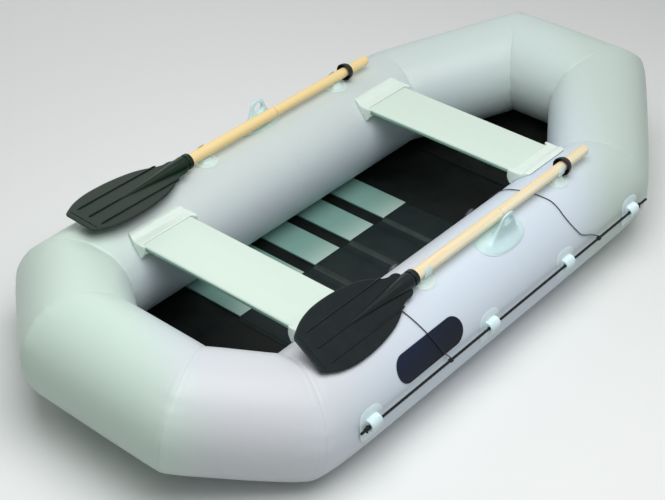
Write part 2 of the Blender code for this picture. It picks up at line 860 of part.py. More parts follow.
def add_clip(name, side, station, held_radius):
    """A soft J-shaped hook on a round pad: a tall outboard tongue and a short inboard lip."""
    bore = held_radius + touch_gap
    pad_angle = math.acos((oar_offset - side_offset) / rim_radius)
    outline = oval(2 * clip_pad_radius, 2 * clip_pad_radius, 16)
    mesh = tube_pad(side, station, pad_angle, outline, 0, clip_pad_thickness)
    exit_way = Vector((math.cos(clip_exit_angle), math.sin(clip_exit_angle)))
    first = clip_exit_angle - clip_grip_angle
    sweep = 2 * math.pi - 2 * clip_grip_angle
    steps = 12
    inner, outer = [], []
    for step in range(steps + 1):
        angle = first - sweep * step / steps
        spoke = Vector((math.cos(angle), math.sin(angle)))
        inner.append(spoke * bore / math.cos(sweep / steps / 2))
        outer.append(spoke * (bore + clip_wall))
    tip_inner = inner[0] + exit_way * clip_tongue_length
    tip_outer = outer[0] + exit_way * (clip_tongue_length - clip_wall / 2)
    section = [tip_inner] + inner + list(reversed(outer)) + [tip_outer]
    frame = Matrix(((0, 0, 1, station), (side, 0, 0, side * oar_offset), (0, 1, 0, oar_height),
                    (0, 0, 0, 1)))
    hook = prism([tuple(point) for point in section], frame, -clip_width / 2, clip_width / 2)
    saddle = -bore - clip_wall / 2
    foot = on_tube(1, 0, pad_angle, touch_gap + clip_pad_thickness / 2).z - oar_height
    half = clip_stem_width / 2
    stem = prism(((-half, foot), (half, foot), (half * 0.8, saddle), (-half * 0.8, saddle)), frame,
                 -clip_width * 0.45, clip_width * 0.45)
    mesh = combined(mesh, hook, "UNION")
    mesh = combined(mesh, stem, "UNION")
    add_piece(name, mesh, soft_moulding())


def add_clips():
    for side_name, side in SIDES:
        for end_name, station in zip(("aft", "fore"), clip_stations):
            held_radius = lower_shaft_radius if end_name == "aft" else upper_shaft_radius
            add_clip(f"{side_name}_{end_name}_oar_clip", side, station, held_radius)


def add_rowlock(name, side):
    """A moulded pad with an upright fin, pierced by the slot that takes the oar's pin or strap."""
    outline = oval(rowlock_pad_length, rowlock_pad_width, 20, 1.15)
    station = along_side(rowlock_share)
    fin_angle = math.acos(rowlock_fin_outboard / rim_radius)
    mesh = tube_pad(side, station, fin_angle + rowlock_pad_turn, outline, 0, rowlock_pad_thickness)
    foot = on_tube(side, station, fin_angle, 0).z - rowlock_pad_thickness
    height = rowlock_fin_top - foot
    base, crown = rowlock_fin_base / 2, rowlock_fin_crown / 2
    flank_shares = ((0.0, 1.00), (0.10, 0.72), (0.28, 0.44), (0.55, 0.20), (0.80, 0.06))
    flank = [(crown + (base - crown) * width, foot + height * rise) for rise, width in flank_shares]
    top = [(crown * math.cos(turn), rowlock_fin_top - crown + crown * math.sin(turn))
           for turn in (math.pi * step / 8 for step in range(1, 8))]
    left = [(-reach, level) for reach, level in reversed(flank)]
    fin_outline = flank + top + left
    frame = Matrix(((1, 0, 0, station), (0, 0, side, side * rowlock_fin_offset),
                    (0, 1, 0, 0), (0, 0, 0, 1)))
    half = rowlock_fin_thickness / 2
    fin = prism(fin_outline, frame, -half, half)
    slot_outline = [(u, rowlock_fin_top - rowlock_slot_drop + v)
                    for u, v in stadium(rowlock_slot_length, rowlock_slot_height, 5)]
    slot = prism(slot_outline, frame, -rowlock_fin_thickness, rowlock_fin_thickness)
    fin = combined(fin, slot, "DIFFERENCE")
    cutter = tube_cutter(side, station, rowlock_pad_length, rowlock_pad_thickness / 2)
    fin = combined(fin, cutter, "DIFFERENCE")
    mesh = combined(mesh, fin, "UNION")
    add_piece(name, mesh, soft_moulding())


def add_rowlocks():
    for side_name, side in SIDES:
        add_rowlock(f"{side_name}_rowlock", side)


def grab_line_centre(side, station):
    return on_tube(side, station, grab_line_angle, touch_gap + grab_line_standoff)


def add_holder(name, side, station):
    """An oval pad with a bored barrel that the grab line is threaded through."""
    outline = oval(holder_pad_length, holder_pad_width, 14)
    mesh = tube_pad(side, station, grab_line_angle, outline, 0, holder_pad_thickness)
    along = Matrix.Rotation(math.pi / 2, 4, "Y")
    centre = on_tube(side, station, grab_line_angle, holder_barrel_height)
    half = holder_barrel_length / 2
    barrel = turned(((holder_barrel_radius * 0.78, -half), (holder_barrel_radius * 0.94, -half * 0.7),
                     (holder_barrel_radius, 0), (holder_barrel_radius * 0.94, half * 0.7),
                     (holder_barrel_radius * 0.78, half)), Matrix.Translation(centre) @ along, 12)
    frame = Matrix.Translation(grab_line_centre(side, station)) @ along
    cutter = tube_cutter(side, station, holder_pad_length, holder_pad_thickness / 2)
    barrel = combined(barrel, cutter, "DIFFERENCE")
    mesh = combined(mesh, barrel, "UNION")
    bore = grab_line_radius + holder_bore_clearance
    cutter = turned(((bore, -holder_barrel_length), (bore, holder_barrel_length)), frame, 10)
    mesh = combined(mesh, cutter, "DIFFERENCE")
    add_piece(name, mesh, soft_moulding())


def add_holders():
    for side_name, side in SIDES:
        for index, station in enumerate(holder_stations):
            add_holder(f"{side_name}_line_holder_{index + 1}", side, station)


def cord_object(name, points, radii, radius, material):
    """A rope or cord as a tube along its points, closed at both ends."""
    curve = bpy.data.curves.new(name, "CURVE")
    curve.dimensions = "3D"
    curve.bevel_depth = radius
    curve.bevel_resolution = 2
    curve.use_fill_caps = True
    spline = curve.splines.new("POLY")
    spline.points.add(len(points) - 1)
    for target, point, width in zip(spline.points, points, radii):
        target.co = (*point, 1.0)
        target.radius = width
    spline.use_smooth = True
    curve.materials.append(material)
    cord = bpy.data.objects.new(name, curve)
    bpy.context.scene.collection.objects.link(cord)
    return cord


def add_grab_line():
    """The starboard grab line, threaded through its four holders and knotted at both ends."""
    half_barrel = holder_barrel_length / 2
    aft = holder_stations[0] - half_barrel - 2 * touch_gap
    fore = holder_stations[-1] + half_barrel + 2 * touch_gap
    knot_shares = ((0.0, 0.0), (0.12, 0.75), (0.35, 1.0), (0.65, 1.0), (0.88, 0.75), (1.0, 0.0))
    run = []
    for share, swell in reversed(knot_shares):
        run.append((aft - knot_length * share, swell))
    run = [(aft - knot_length - knot_tail, 0.0)] + run
    span = fore - aft
    steps = 24
    run += [(aft + span * step / steps, 0.0) for step in range(1, steps)]
    run += [(fore + knot_length * share, swell) for share, swell in knot_shares]
    run += [(fore + knot_length + knot_tail, 0.0)]
    points = [grab_line_centre(-1, station) for station, _ in run]
    radii = [1 + swell * (knot_radius / grab_line_radius - 1) for _, swell in run]
    cord_object("grab_line", points, radii, grab_line_radius, black_rope())


# Route of each tether over the starboard tube: share along the side tube, angle round the tube in
# degrees, and how much of the grab line's standoff it is held up by
fore_tether_route_shares = (
    (0.8059, 9.6, 1.0), (0.7971, 12.0, 0.8), (0.7870, 14.8, 0.4), (0.7687, 18.8, 0.0),
    (0.7545, 23.0, 0.0), (0.7437, 31.0, 0.0), (0.7355, 40.0, 0.0), (0.7315, 50.0, 0.0),
    (0.7328, 60.0, 0.0), (0.7328, 70.0, 0.0), (0.7261, 82.0, 0.0), (0.7207, 95.0, 0.0),
    (0.7186, 108.0, 0.0), (0.7213, 122.0, 0.0), (0.7240, 140.0, 0.0), (0.7247, 160.0, 0.0),
    (0.7234, 180.0, 0.0), (0.7207, 200.0, 0.0), (0.7179, 218.0, 0.0), (0.7166, 230.0, 0.0))
aft_tether_route_shares = (
    (0.2946, 9.6, 1.0), (0.2905, 12.0, 0.8), (0.2851, 16.4, 0.3), (0.2783, 23.0, 0.0),
    (0.2716, 31.0, 0.0), (0.2648, 41.0, 0.0), (0.2594, 51.0, 0.0), (0.2553, 62.0, 0.0),
    (0.2526, 74.0, 0.0), (0.2526, 87.0, 0.0), (0.2546, 100.0, 0.0), (0.2573, 114.0, 0.0),
    (0.2600, 130.0, 0.0), (0.2621, 148.0, 0.0), (0.2634, 166.0, 0.0), (0.2634, 184.0, 0.0),
    (0.2628, 202.0, 0.0), (0.2621, 218.0, 0.0), (0.2614, 230.0, 0.0))


def smooth_route(route, count):
    """Evenly numbered points on a smooth curve through the route's points."""
    padded = [route[0]] + list(route) + [route[-1]]
    spans = len(route) - 1
    points = []
    for index in range(count):
        place = spans * index / (count - 1)
        span = min(int(place), spans - 1)
        share = place - span
        before, start, end, after = (Vector(pair) for pair in padded[span:span + 4])
        bend = (2 * start + (end - before) * share
                + (2 * before - 5 * start + 4 * end - after) * share ** 2
                + (3 * start - before - 3 * end + after) * share ** 3) / 2
        points.append(bend)
    return points


def add_tethers():
    """Two thin cords tied to the grab line, laid over the starboard tube down to the floor."""
    lying = 2 * touch_gap + patch_thickness + tether_radius
    for name, route in (("fore_tether", fore_tether_route_shares),
                        ("aft_tether", aft_tether_route_shares)):
        points = [on_tube(-1, along_side(share), math.radians(angle),
                          lying + (grab_line_standoff - lying) * held)
                  for share, angle, held in smooth_route(route, tether_points)]
        radii = [tether_knot_swell, tether_knot_swell] + [1.0] * (tether_points - 2)
        cord_object(name, points, radii, tether_radius, black_rope())


def add_patch():
    """The dark name patch, without a name, bonded to the starboard tube."""
    outline = stadium(patch_length, patch_width, 8)
    mesh = tube_pad(-1, along_side(patch_share), patch_angle, outline, 0, patch_thickness)
    add_piece("name_patch", mesh, patch_fabric())


def add_valves():
    """An air valve for each chamber, on the inboard face of the starboard tube."""
    for end_name in ("aft", "fore"):
        station = valve_station(end_name)
        frame = tube_frame(-1, station, valve_angle)
        outline = oval(2 * valve_pad_radius, 2 * valve_pad_radius, 16)
        mesh = tube_pad(-1, station, valve_angle, outline, 0, valve_pad_thickness)
        neck = turned(((valve_neck_radius, -valve_neck_depth), (valve_neck_radius, valve_neck_rise)),
                      frame, shaft_sides)
        mesh = combined(mesh, neck, "UNION")
        bore = turned(((valve_bore_radius, -2 * valve_neck_depth),
                       (valve_bore_radius, 2 * valve_neck_rise)), frame, shaft_sides)
        mesh = combined(mesh, bore, "DIFFERENCE")
        add_piece(f"{end_name}_valve", mesh, valve_plastic())
        add_valve_cap(f"{end_name}_valve_cap", frame)


def add_valve_cap(name, frame):
    """A quarter-turn cap with finger grips round its rim, seated on the valve's neck."""
    low = valve_neck_rise + touch_gap
    high = low + valve_cap_height
    rings = []
    for level, inset in ((low, 0), (high - valve_cap_edge, 0), (high, valve_cap_edge)):
        ring = []
        for index in range(2 * valve_cap_grips):
            angle = math.pi * index / valve_cap_grips
            radius = valve_cap_radius - inset - (index % 2) * valve_cap_grip_depth
            ring.append(Vector((radius * math.cos(angle), radius * math.sin(angle), level)))
        rings.append(ring)
    cap = add_piece(name, mesh_from_rings(rings), valve_plastic())
    cap.matrix_world = frame


def build_boat():
    clear_scene()
    add_hull()
    add_bulkheads()
    add_bottom()
    add_slats()
    add_slat_sleeve()
    add_seats()
    add_oars()
    add_clips()
    add_rowlocks()
    add_holders()
    add_grab_line()
    add_tethers()
    add_patch()
    add_valves()


build_boat()
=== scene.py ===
import math

import bmesh
import bpy
from mathutils import Matrix, Vector, noise


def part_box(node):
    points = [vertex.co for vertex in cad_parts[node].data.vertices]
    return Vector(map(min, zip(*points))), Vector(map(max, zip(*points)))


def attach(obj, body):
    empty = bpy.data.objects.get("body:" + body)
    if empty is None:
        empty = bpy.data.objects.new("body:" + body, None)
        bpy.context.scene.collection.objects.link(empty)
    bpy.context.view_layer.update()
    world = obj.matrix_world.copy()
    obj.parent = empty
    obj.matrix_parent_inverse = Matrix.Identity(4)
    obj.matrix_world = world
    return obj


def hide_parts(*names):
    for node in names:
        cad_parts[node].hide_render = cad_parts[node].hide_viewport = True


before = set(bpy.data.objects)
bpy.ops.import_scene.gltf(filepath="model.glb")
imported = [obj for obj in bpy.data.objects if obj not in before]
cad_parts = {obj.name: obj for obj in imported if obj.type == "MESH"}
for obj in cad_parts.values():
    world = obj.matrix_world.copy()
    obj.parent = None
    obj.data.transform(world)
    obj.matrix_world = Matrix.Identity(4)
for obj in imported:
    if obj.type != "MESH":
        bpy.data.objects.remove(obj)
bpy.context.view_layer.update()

# Studio
# A pale sweep under and behind the boat, one broad soft lamp high over it and a weak one beyond its
# port bow, as in a catalogue room. The camera stands over the starboard stern quarter.
scene = bpy.context.scene
scene.view_settings.view_transform = "Standard"

camera_place = Vector((-2.92235712, -2.25067896, 2.70659122))
sensor_width, lens_length, sight_end = 36, 78.676, 60
view_along = Vector((0.62864053, 0.51389165, -0.58371779)).normalized()
view_right = view_along.cross(Vector((0, 0, 1))).normalized()
view_up = view_right.cross(view_along)
view_roll = 0.0192
lens_right = view_right * math.cos(view_roll) + view_up * math.sin(view_roll)
lens_up = view_up * math.cos(view_roll) - view_right * math.sin(view_roll)
camera = bpy.data.objects.new("camera", bpy.data.cameras.new("camera"))
camera.data.sensor_width = sensor_width
camera.data.lens = lens_length
camera.data.clip_end = sight_end
camera.matrix_world = Matrix((lens_right, lens_up, -view_along)).transposed().to_4x4()
camera.matrix_world.translation = camera_place
scene.collection.objects.link(camera)
scene.camera = camera


def soft_lamp(name, place, aim, size, watts, tint):
    """A square area lamp that faces a point."""
    lamp = bpy.data.objects.new(name, bpy.data.lights.new(name, "AREA"))
    lamp.data.size = size
    lamp.data.energy = watts
    lamp.data.color = tint
    lamp.location = place
    lamp.rotation_euler = (Vector(aim) - Vector(place)).to_track_quat("-Z", "Y").to_euler()
    scene.collection.objects.link(lamp)


soft_lamp("top_lamp", place=(-0.75, -0.9, 3.5), aim=(-0.1, 0, 0.2), size=3.2, watts=112,
          tint=(1.0, 1.0, 1.0))
soft_lamp("far_lamp", place=(1.2, 3.2, 2.2), aim=(0.2, 0, 0.2), size=2.4, watts=13,
          tint=(0.98, 0.99, 1.0))


def seen_share(tree):
    """One where the camera, a reflection or a clear piece looks, and zero for the light itself."""
    path = tree.nodes.new("ShaderNodeLightPath")
    glossy, clear = [tree.nodes.new("ShaderNodeMath") for _ in range(2)]
    glossy.operation = clear.operation = "MAXIMUM"
    tree.links.new(path.outputs["Is Camera Ray"], glossy.inputs[0])
    tree.links.new(path.outputs["Is Glossy Ray"], glossy.inputs[1])
    tree.links.new(glossy.outputs["Value"], clear.inputs[0])
    tree.links.new(path.outputs["Is Transmission Ray"], clear.inputs[1])
    return clear.outputs["Value"]


room_glow, room_strength = (0.93, 0.97, 0.95, 1), 0.22
room_look = (0.93, 0.95, 0.94, 1)
world = bpy.data.worlds.new("room")
scene.world = world
world.use_nodes = True
room = world.node_tree
room_light = room.nodes["Background"]
room_light.inputs["Color"].default_value = room_glow
room_light.inputs["Strength"].default_value = room_strength
room_seen = room.nodes.new("ShaderNodeBackground")
room_seen.inputs["Color"].default_value = room_look
room_mix = room.nodes.new("ShaderNodeMixShader")
room.links.new(seen_share(room), room_mix.inputs["Fac"])
room.links.new(room_light.outputs["Background"], room_mix.inputs[1])
room.links.new(room_seen.outputs["Background"], room_mix.inputs[2])
room.links.new(room_mix.outputs["Shader"], room.nodes["World Output"].inputs["Surface"])

floor_half, floor_drop = 16, 0.0008
floor_tone, floor_look = (0.58, 0.60, 0.59, 1), (0.94, 0.955, 0.95, 1)
floor_corners = [(-floor_half, -floor_half, -floor_drop), (floor_half, -floor_half, -floor_drop),
                 (floor_half, floor_half, -floor_drop), (-floor_half, floor_half, -floor_drop)]
sweep_mesh = bpy.data.meshes.new("studio_floor")
sweep_mesh.from_pydata(floor_corners, [], [(0, 1, 2, 3)])
sweep = bpy.data.objects.new("studio_floor", sweep_mesh)
scene.collection.objects.link(sweep)
sweep_paint = bpy.data.materials.new("studio_floor_paint")
sweep_paint.use_nodes = True
sweep_shader = sweep_paint.node_tree.nodes["Principled BSDF"]
sweep_mix = sweep_paint.node_tree.nodes.new("ShaderNodeMix")
sweep_mix.data_type = "RGBA"
sweep_mix.inputs[6].default_value = floor_tone
sweep_mix.inputs[7].default_value = floor_look
sweep_links = sweep_paint.node_tree.links
sweep_links.new(seen_share(sweep_paint.node_tree), sweep_mix.inputs[0])
sweep_links.new(sweep_mix.outputs[2], sweep_shader.inputs["Base Color"])
sweep_shader.inputs["Roughness"].default_value = 0.75
sweep_shader.inputs["Specular IOR Level"].default_value = 0.15
sweep_mesh.materials.append(sweep_paint)

# Grab line
# One 8 mm black braided rope along the starboard tube, threaded through four moulded holders and
# stopped by an overhand knot outside each end one. The side tubes' sizes come with it, because
# the rope, the tethers and every fitting are placed round them.
tube_radius = 0.165
tube_rim = tube_radius / math.cos(math.pi / 32)
axis_offset = 0.422
stern_corner = Vector((-0.8235, axis_offset, tube_radius))
bow_corner = Vector((0.655, axis_offset, tube_radius))


def along_side(share):
    """A station along the boat, by its share of the way from stern corner to bow corner."""
    return stern_corner.x + (bow_corner.x - stern_corner.x) * share


def over_tube(side, station, angle, height):
    """A point over a side tube's skin; the angle runs from outboard over the top to inboard."""
    reach = tube_rim + height
    return Vector((station, side * (axis_offset + reach * math.cos(angle)),
                   tube_radius + reach * math.sin(angle)))


def link_piece(name, mesh, material):
    """A finished piece at the origin, shaded smooth, in its material."""
    mesh.shade_smooth()
    mesh.materials.append(material)
    piece = bpy.data.objects.new(name, mesh)
    scene.collection.objects.link(piece)
    return piece


def skinned(rings, closed_run=False, name="form", metres=None):
    """A skin over rings of points, capped or run round to its start; metres give its own map."""
    count = len(rings[0])
    form = bmesh.new()
    loops = [[form.verts.new(point) for point in ring] for ring in rings]
    map_layer = form.loops.layers.uv.new("skin") if metres else None
    spans = list(range(len(loops) if closed_run else len(loops) - 1))
    for span in spans:
        near, far = loops[span], loops[(span + 1) % len(loops)]
        for index in range(count):
            after = (index + 1) % count
            face = form.faces.new((near[index], near[after], far[after], far[index]))
            if metres:
                around, along = metres
                here, there = along[span], along[(span + 1) % len(along)]
                corners = ((index, here), (index + 1, here), (index + 1, there), (index, there))
                for loop, (turn, run) in zip(face.loops, corners):
                    loop[map_layer].uv = (around * turn / count, run)
    if not closed_run:
        form.faces.new(list(reversed(loops[0])))
        form.faces.new(loops[-1])
    bmesh.ops.recalc_face_normals(form, faces=form.faces)
    mesh = bpy.data.meshes.new(name)
    form.to_mesh(mesh)
    form.free()
    return mesh


def smooth_points(route, count):
    """Evenly numbered points on a smooth curve through the route's points."""
    padded = [route[0]] + list(route) + [route[-1]]
    spans = len(route) - 1
    points = []
    for index in range(count):
        place = spans * index / (count - 1)
        span = min(int(place), spans - 1)
        share = place - span
        before, start, end, after = (Vector(point) for point in padded[span:span + 4])
        points.append((2 * start + (end - before) * share
                       + (2 * before - 5 * start + 4 * end - after) * share ** 2
                       + (3 * start - before - 3 * end + after) * share ** 3) / 2)
    return points


def rope_mesh(name, points, radii, sides=16, weave=0.0, lay_length=0.02):
    """A round rope swept along its points, with its own map in metres for the braid."""
    rings, run, runs = [], 0.0, []
    forward = (points[1] - points[0]).normalized()
    across = forward.orthogonal().normalized()
    for index, point in enumerate(points):
        ahead = points[min(index + 1, len(points) - 1)]
        behind = points[max(index - 1, 0)]
        forward = (ahead - behind).normalized()
        across = (across - forward * across.dot(forward)).normalized()
        other = forward.cross(across)
        if index:
            run += (point - points[index - 1]).length
        runs.append(run)
        ring = []
        for side in range(sides):
            turn = 2 * math.pi * side / sides
            strands = math.sin(4 * turn + 2 * math.pi * run / lay_length)
            strands = max(strands, math.sin(4 * turn - 2 * math.pi * run / lay_length))
            radius = radii[index] * (1 + weave * (strands - 1))
            ring.append(point + radius * (math.cos(turn) * across + math.sin(turn) * other))
        rings.append(ring)
    return skinned(rings, name=name, metres=(2 * math.pi * radii[0], runs))


def new_finish(name, colour, roughness, **shader_values):
    """A Principled material whose constants sit on the shader's own sockets."""
    material = bpy.data.materials.new(name)
    material.use_nodes = True
    shader = material.node_tree.nodes["Principled BSDF"]
    shader.inputs["Base Color"].default_value = (*colour, 1)
    shader.inputs["Roughness"].default_value = roughness
    for socket, value in shader_values.items():
        shader.inputs[socket.replace("_", " ")].default_value = value
    return material


def add_node(material, kind, values=None, **settings):
    """A node of a material with its settings and input values."""
    node = material.node_tree.nodes.new("ShaderNode" + kind)
    for key, value in settings.items():
        setattr(node, key, value)
    for key, value in (values or {}).items():
        node.inputs[key].default_value = value
    return node


def wire(material, *pairs):
    """Join outputs to inputs, given as (node, output, node, input)."""
    for source, output, target, entry in pairs:
        material.node_tree.links.new(source.outputs[output], target.inputs[entry])


def mottle(material, dark, light, scale, low=0.35, high=0.65, stretch=(1, 1, 1)):
    """Base colour that drifts between two shades through the boat, as a dye or a coat does."""
    where = add_node(material, "TexCoord")
    turn = add_node(material, "Mapping", {"Scale": stretch})
    cloud = add_node(material, "TexNoise", {"Scale": scale, "Detail": 5, "Roughness": 0.6})
    ramp = add_node(material, "ValToRGB")
    ramp.color_ramp.elements[0].position = low
    ramp.color_ramp.elements[1].position = high
    ramp.color_ramp.elements[0].color = (*dark, 1)
    ramp.color_ramp.elements[1].color = (*light, 1)
    shader = material.node_tree.nodes["Principled BSDF"]
    wire(material, (where, "Object", turn, "Vector"), (turn, "Vector", cloud, "Vector"),
         (cloud, "Fac", ramp, "Fac"), (ramp, "Color", shader, "Base Color"))
    return cloud, ramp


def gloss_drift(material, cloud, low, high):
    """Roughness that follows a noise between two values, as handling leaves it."""
    spread = add_node(material, "MapRange", {"To Min": low, "To Max": high})
    wire(material, (cloud, "Fac", spread, "Value"),
         (spread, "Result", material.node_tree.nodes["Principled BSDF"], "Roughness"))


def relief(material, height_node, output, strength, distance, under=None):
    """A bump from a height, laid over an earlier bump where there is one."""
    bump = add_node(material, "Bump", {"Strength": strength, "Distance": distance})
    wire(material, (height_node, output, bump, "Height"))
    if under:
        wire(material, (under, "Normal", bump, "Normal"))
    wire(material, (bump, "Normal", material.node_tree.nodes["Principled BSDF"], "Normal"))
    return bump


def braid_finish(name, colour, pale, strand):
    """Braided synthetic cord: crossing strands as relief on the cord's own map, dull in sheen."""
    material = new_finish(name, colour, 0.62, Sheen_Weight=0.05, Specular_IOR_Level=0.15)
    mottle(material, colour, pale, 260, 0.40, 0.72)
    where = add_node(material, "TexCoord")
    strand_lean = math.radians(38)
    waves = []
    for turn in (strand_lean, -strand_lean):
        lean = add_node(material, "Mapping", {"Rotation": (0, 0, turn)})
        wave = add_node(material, "TexWave", {"Scale": 0.5 / strand, "Distortion": 0.6,
                                              "Detail": 1, "Detail Scale": 2}, wave_profile="SIN")
        wire(material, (where, "UV", lean, "Vector"), (lean, "Vector", wave, "Vector"))
        waves.append(wave)
    crossing = add_node(material, "Math", operation="MULTIPLY")
    wire(material, (waves[0], "Fac", crossing, 0), (waves[1], "Fac", crossing, 1))
    relief(material, crossing, "Value", 0.8, 0.0009)
    return material


black_braid = braid_finish("black_braid", (0.006, 0.008, 0.009), (0.018, 0.021, 0.024), 0.0030)

skin_gap = 0.0003
rope_stand = 0.0115
line_angle = math.radians(7.0)
line_radius = 0.0040
line_height = skin_gap + rope_stand
barrel_length = 0.044
holder_stations = [along_side(share) for share in (0.0808, 0.4379, 0.7004, 0.9499)]
holder_lead = 0.012
knot_gap = 0.0006
knot_length, knot_tail = 0.020, 0.026
knot_loop, knot_rope_radius = 0.0026, 0.0037
rope_weave = 0.05
line_aft = holder_stations[0] - barrel_length / 2 - knot_gap - knot_length - knot_tail
line_fore = holder_stations[-1] + barrel_length / 2 + knot_gap + knot_length + knot_tail

line_steps = 420
line_run = [line_aft + (line_fore - line_aft) * step / line_steps for step in range(line_steps + 1)]
line_points = [over_tube(-1, station, line_angle, line_height) for station in line_run]
line_mesh = rope_mesh("grab_line_rope", line_points, [line_radius] * len(line_points), 18,
                      rope_weave)
grab_line = link_piece("grab_line_rope", line_mesh, black_braid)


def overhand_knot(name, station, turned_fore):
    """An overhand knot pulled tight: the rope's own loop, swept as a small trefoil."""
    middle = over_tube(-1, station, line_angle, line_height)
    points = []
    for step in range(97):
        turn = 2 * math.pi * step / 96
        flat = math.sin(turn) + 2 * math.sin(2 * turn)
        tall = math.cos(turn) - 2 * math.cos(2 * turn)
        deep = -math.sin(3 * turn)
        points.append(middle + Vector((turned_fore * knot_loop * flat, knot_loop * deep,
                                       knot_loop * tall)))
    mesh = rope_mesh(name, points, [knot_rope_radius] * len(points), 12, rope_weave)
    return link_piece(name, mesh, black_braid)


knots = [overhand_knot("grab_line_aft_knot",
                       line_aft + knot_tail + knot_length / 2 - holder_lead, 1),
         overhand_knot("grab_line_fore_knot",
                       line_fore - knot_tail - knot_length / 2 - holder_lead, -1)]
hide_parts("grab_line")
for piece in [grab_line] + knots:
    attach(piece, "boat")

# Tether cords
# Two thin black cords hitched to the grab line with three turns. Each lies over the tube, passes
# below the oar and goes down inboard, where its sealed end rests on the tube just above the floor.
tether_radius = 0.0015
tether_weave, tether_lay = 0.05, 0.009
crossed_cloth = 0.0008
tether_lying = 2 * skin_gap + crossed_cloth + tether_radius
hitch_turns, hitch_steps, hitch_pitch, hitch_grip = 3, 40, 0.0030, 0.9
# each stop: share along the side, degrees round the tube, how far the rope holds the cord off it
fore_route = ((0.8059, 9.6, 1.0), (0.7971, 12.0, 0.8), (0.7870, 14.8, 0.4), (0.7687, 18.8, 0.0),
              (0.7545, 23.0, 0.0), (0.7437, 31.0, 0.0), (0.7355, 40.0, 0.0), (0.7315, 50.0, 0.0),
              (0.7328, 60.0, 0.0), (0.7328, 70.0, 0.0), (0.7261, 82.0, 0.0), (0.7207, 95.0, 0.0),
              (0.7186, 108.0, 0.0), (0.7213, 122.0, 0.0), (0.7240, 140.0, 0.0),
              (0.7247, 160.0, 0.0), (0.7234, 180.0, 0.0), (0.7207, 200.0, 0.0),
              (0.7179, 218.0, 0.0), (0.7166, 230.0, 0.0))
aft_route = ((0.2946, 9.6, 1.0), (0.2905, 12.0, 0.8), (0.2851, 16.4, 0.3), (0.2783, 23.0, 0.0),
             (0.2716, 31.0, 0.0), (0.2648, 41.0, 0.0), (0.2594, 51.0, 0.0), (0.2553, 62.0, 0.0),
             (0.2526, 74.0, 0.0), (0.2526, 87.0, 0.0), (0.2546, 100.0, 0.0), (0.2573, 114.0, 0.0),
             (0.2600, 130.0, 0.0), (0.2621, 148.0, 0.0), (0.2634, 166.0, 0.0),
             (0.2634, 184.0, 0.0), (0.2628, 202.0, 0.0), (0.2621, 218.0, 0.0),
             (0.2614, 230.0, 0.0))
thin_braid = braid_finish("thin_black_braid", (0.015, 0.017, 0.019), (0.05, 0.055, 0.06), 0.0012)
for tether_name, route in (("fore_tether", fore_route), ("aft_tether", aft_route)):
    tether_points = [over_tube(-1, along_side(share), math.radians(angle),
                               tether_lying + (rope_stand - tether_lying) * held)
                     for share, angle, held in smooth_points(route, 170)]
    tether = link_piece(tether_name + "_cord",
                        rope_mesh(tether_name + "_cord", tether_points,
                                  [tether_radius] * len(tether_points), 10, tether_weave,
                                  tether_lay),
                        thin_braid)
    hitch_points = []
    rope_middle = over_tube(-1, tether_points[0].x, line_angle, line_height)
    for step in range(hitch_turns * hitch_steps + 1):
        turn = 2 * math.pi * step / hitch_steps
        reach = line_radius + tether_radius * hitch_grip
        run = hitch_pitch * (step - hitch_turns * hitch_steps // 2) / hitch_steps
        hitch_points.append(rope_middle + Vector((run, reach * math.cos(turn),
                                                  reach * math.sin(turn))))
    hitch = link_piece(tether_name + "_hitch",
                       rope_mesh(tether_name + "_hitch", hitch_points,
                                 [tether_radius] * len(hitch_points), 10), thin_braid)
    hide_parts(tether_name)
    for piece in (tether, hitch):
        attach(piece, "boat")

# Air tubes
# Ten sleeves of coated fabric, cut on the mitre and welded under a tape into a ring that stands up
# at bow and stern. Air pressure keeps them round, and the fabric puckers a little at every weld.
seam_gap = 0.0001
fabric_wall = 0.0009
sleeve_sides = 112
skin_proud = 0.0003
weld_draw, weld_reach = 0.0021, 0.013
weld_tape, tape_edge, tape_rise = 0.0135, 0.0010, 0.00045
fine_fold, fine_fold_reach = 0.0032, 0.020
broad_fold, broad_fold_reach = 0.0014, 0.055
corner_draw, long_corner_draw, draw_reach = 0.008, 0.038, 0.07
butt_pucker_share = 0.2
end_station = 1.035
stern_rise, bow_rise = 0.069, 0.0886
panel_seam = Vector((along_side(0.5604), axis_offset, tube_radius))
end_corners = {("stern", 1): Vector((-end_station, 0.147, tube_radius + stern_rise)),
               ("stern", -1): Vector((-end_station, 0.2345, tube_radius + stern_rise)),
               ("bow", 1): Vector((end_station, 0.1575, tube_radius + bow_rise)),
               ("bow", -1): Vector((end_station, 0.1765, tube_radius + bow_rise))}


def folded(direction, normal):
    """A direction carried across a mitre plane."""
    return direction - 2 * direction.dot(normal) * normal


def flipped(vector):
    """A point or direction carried over to the other side of the boat."""
    return Vector((vector.x, -vector.y, vector.z))


def skin_directions():
    """The directions round a side tube, told as for port, from outboard over the top."""
    turns = [2 * math.pi * index / sleeve_sides for index in range(sleeve_sides)]
    return [Vector((0, math.cos(turn), math.sin(turn))) for turn in turns]


def pucker(direction_index, seed, gap):
    """How far the skin dips or swells near a weld: short folds that fade within a hand's width."""
    turn = 2 * math.pi * direction_index / sleeve_sides
    around = Vector((math.cos(turn), math.sin(turn), 0))
    fine = noise.noise(around * 7.5 + Vector((0, 0, seed * 3.7)))
    coarse = noise.noise(around * 2.6 + Vector((0, 0, seed * 5.1 + 20)))
    drift = noise.noise(around * 4.0 + Vector((0, 0, seed * 2.3 + gap * 24)))
    strength = 0.35 + 0.65 * max(0.0, coarse + 0.25)
    return (fine_fold * fine * math.exp(-gap / fine_fold_reach) * strength
            + broad_fold * drift * math.exp(-gap / broad_fold_reach))


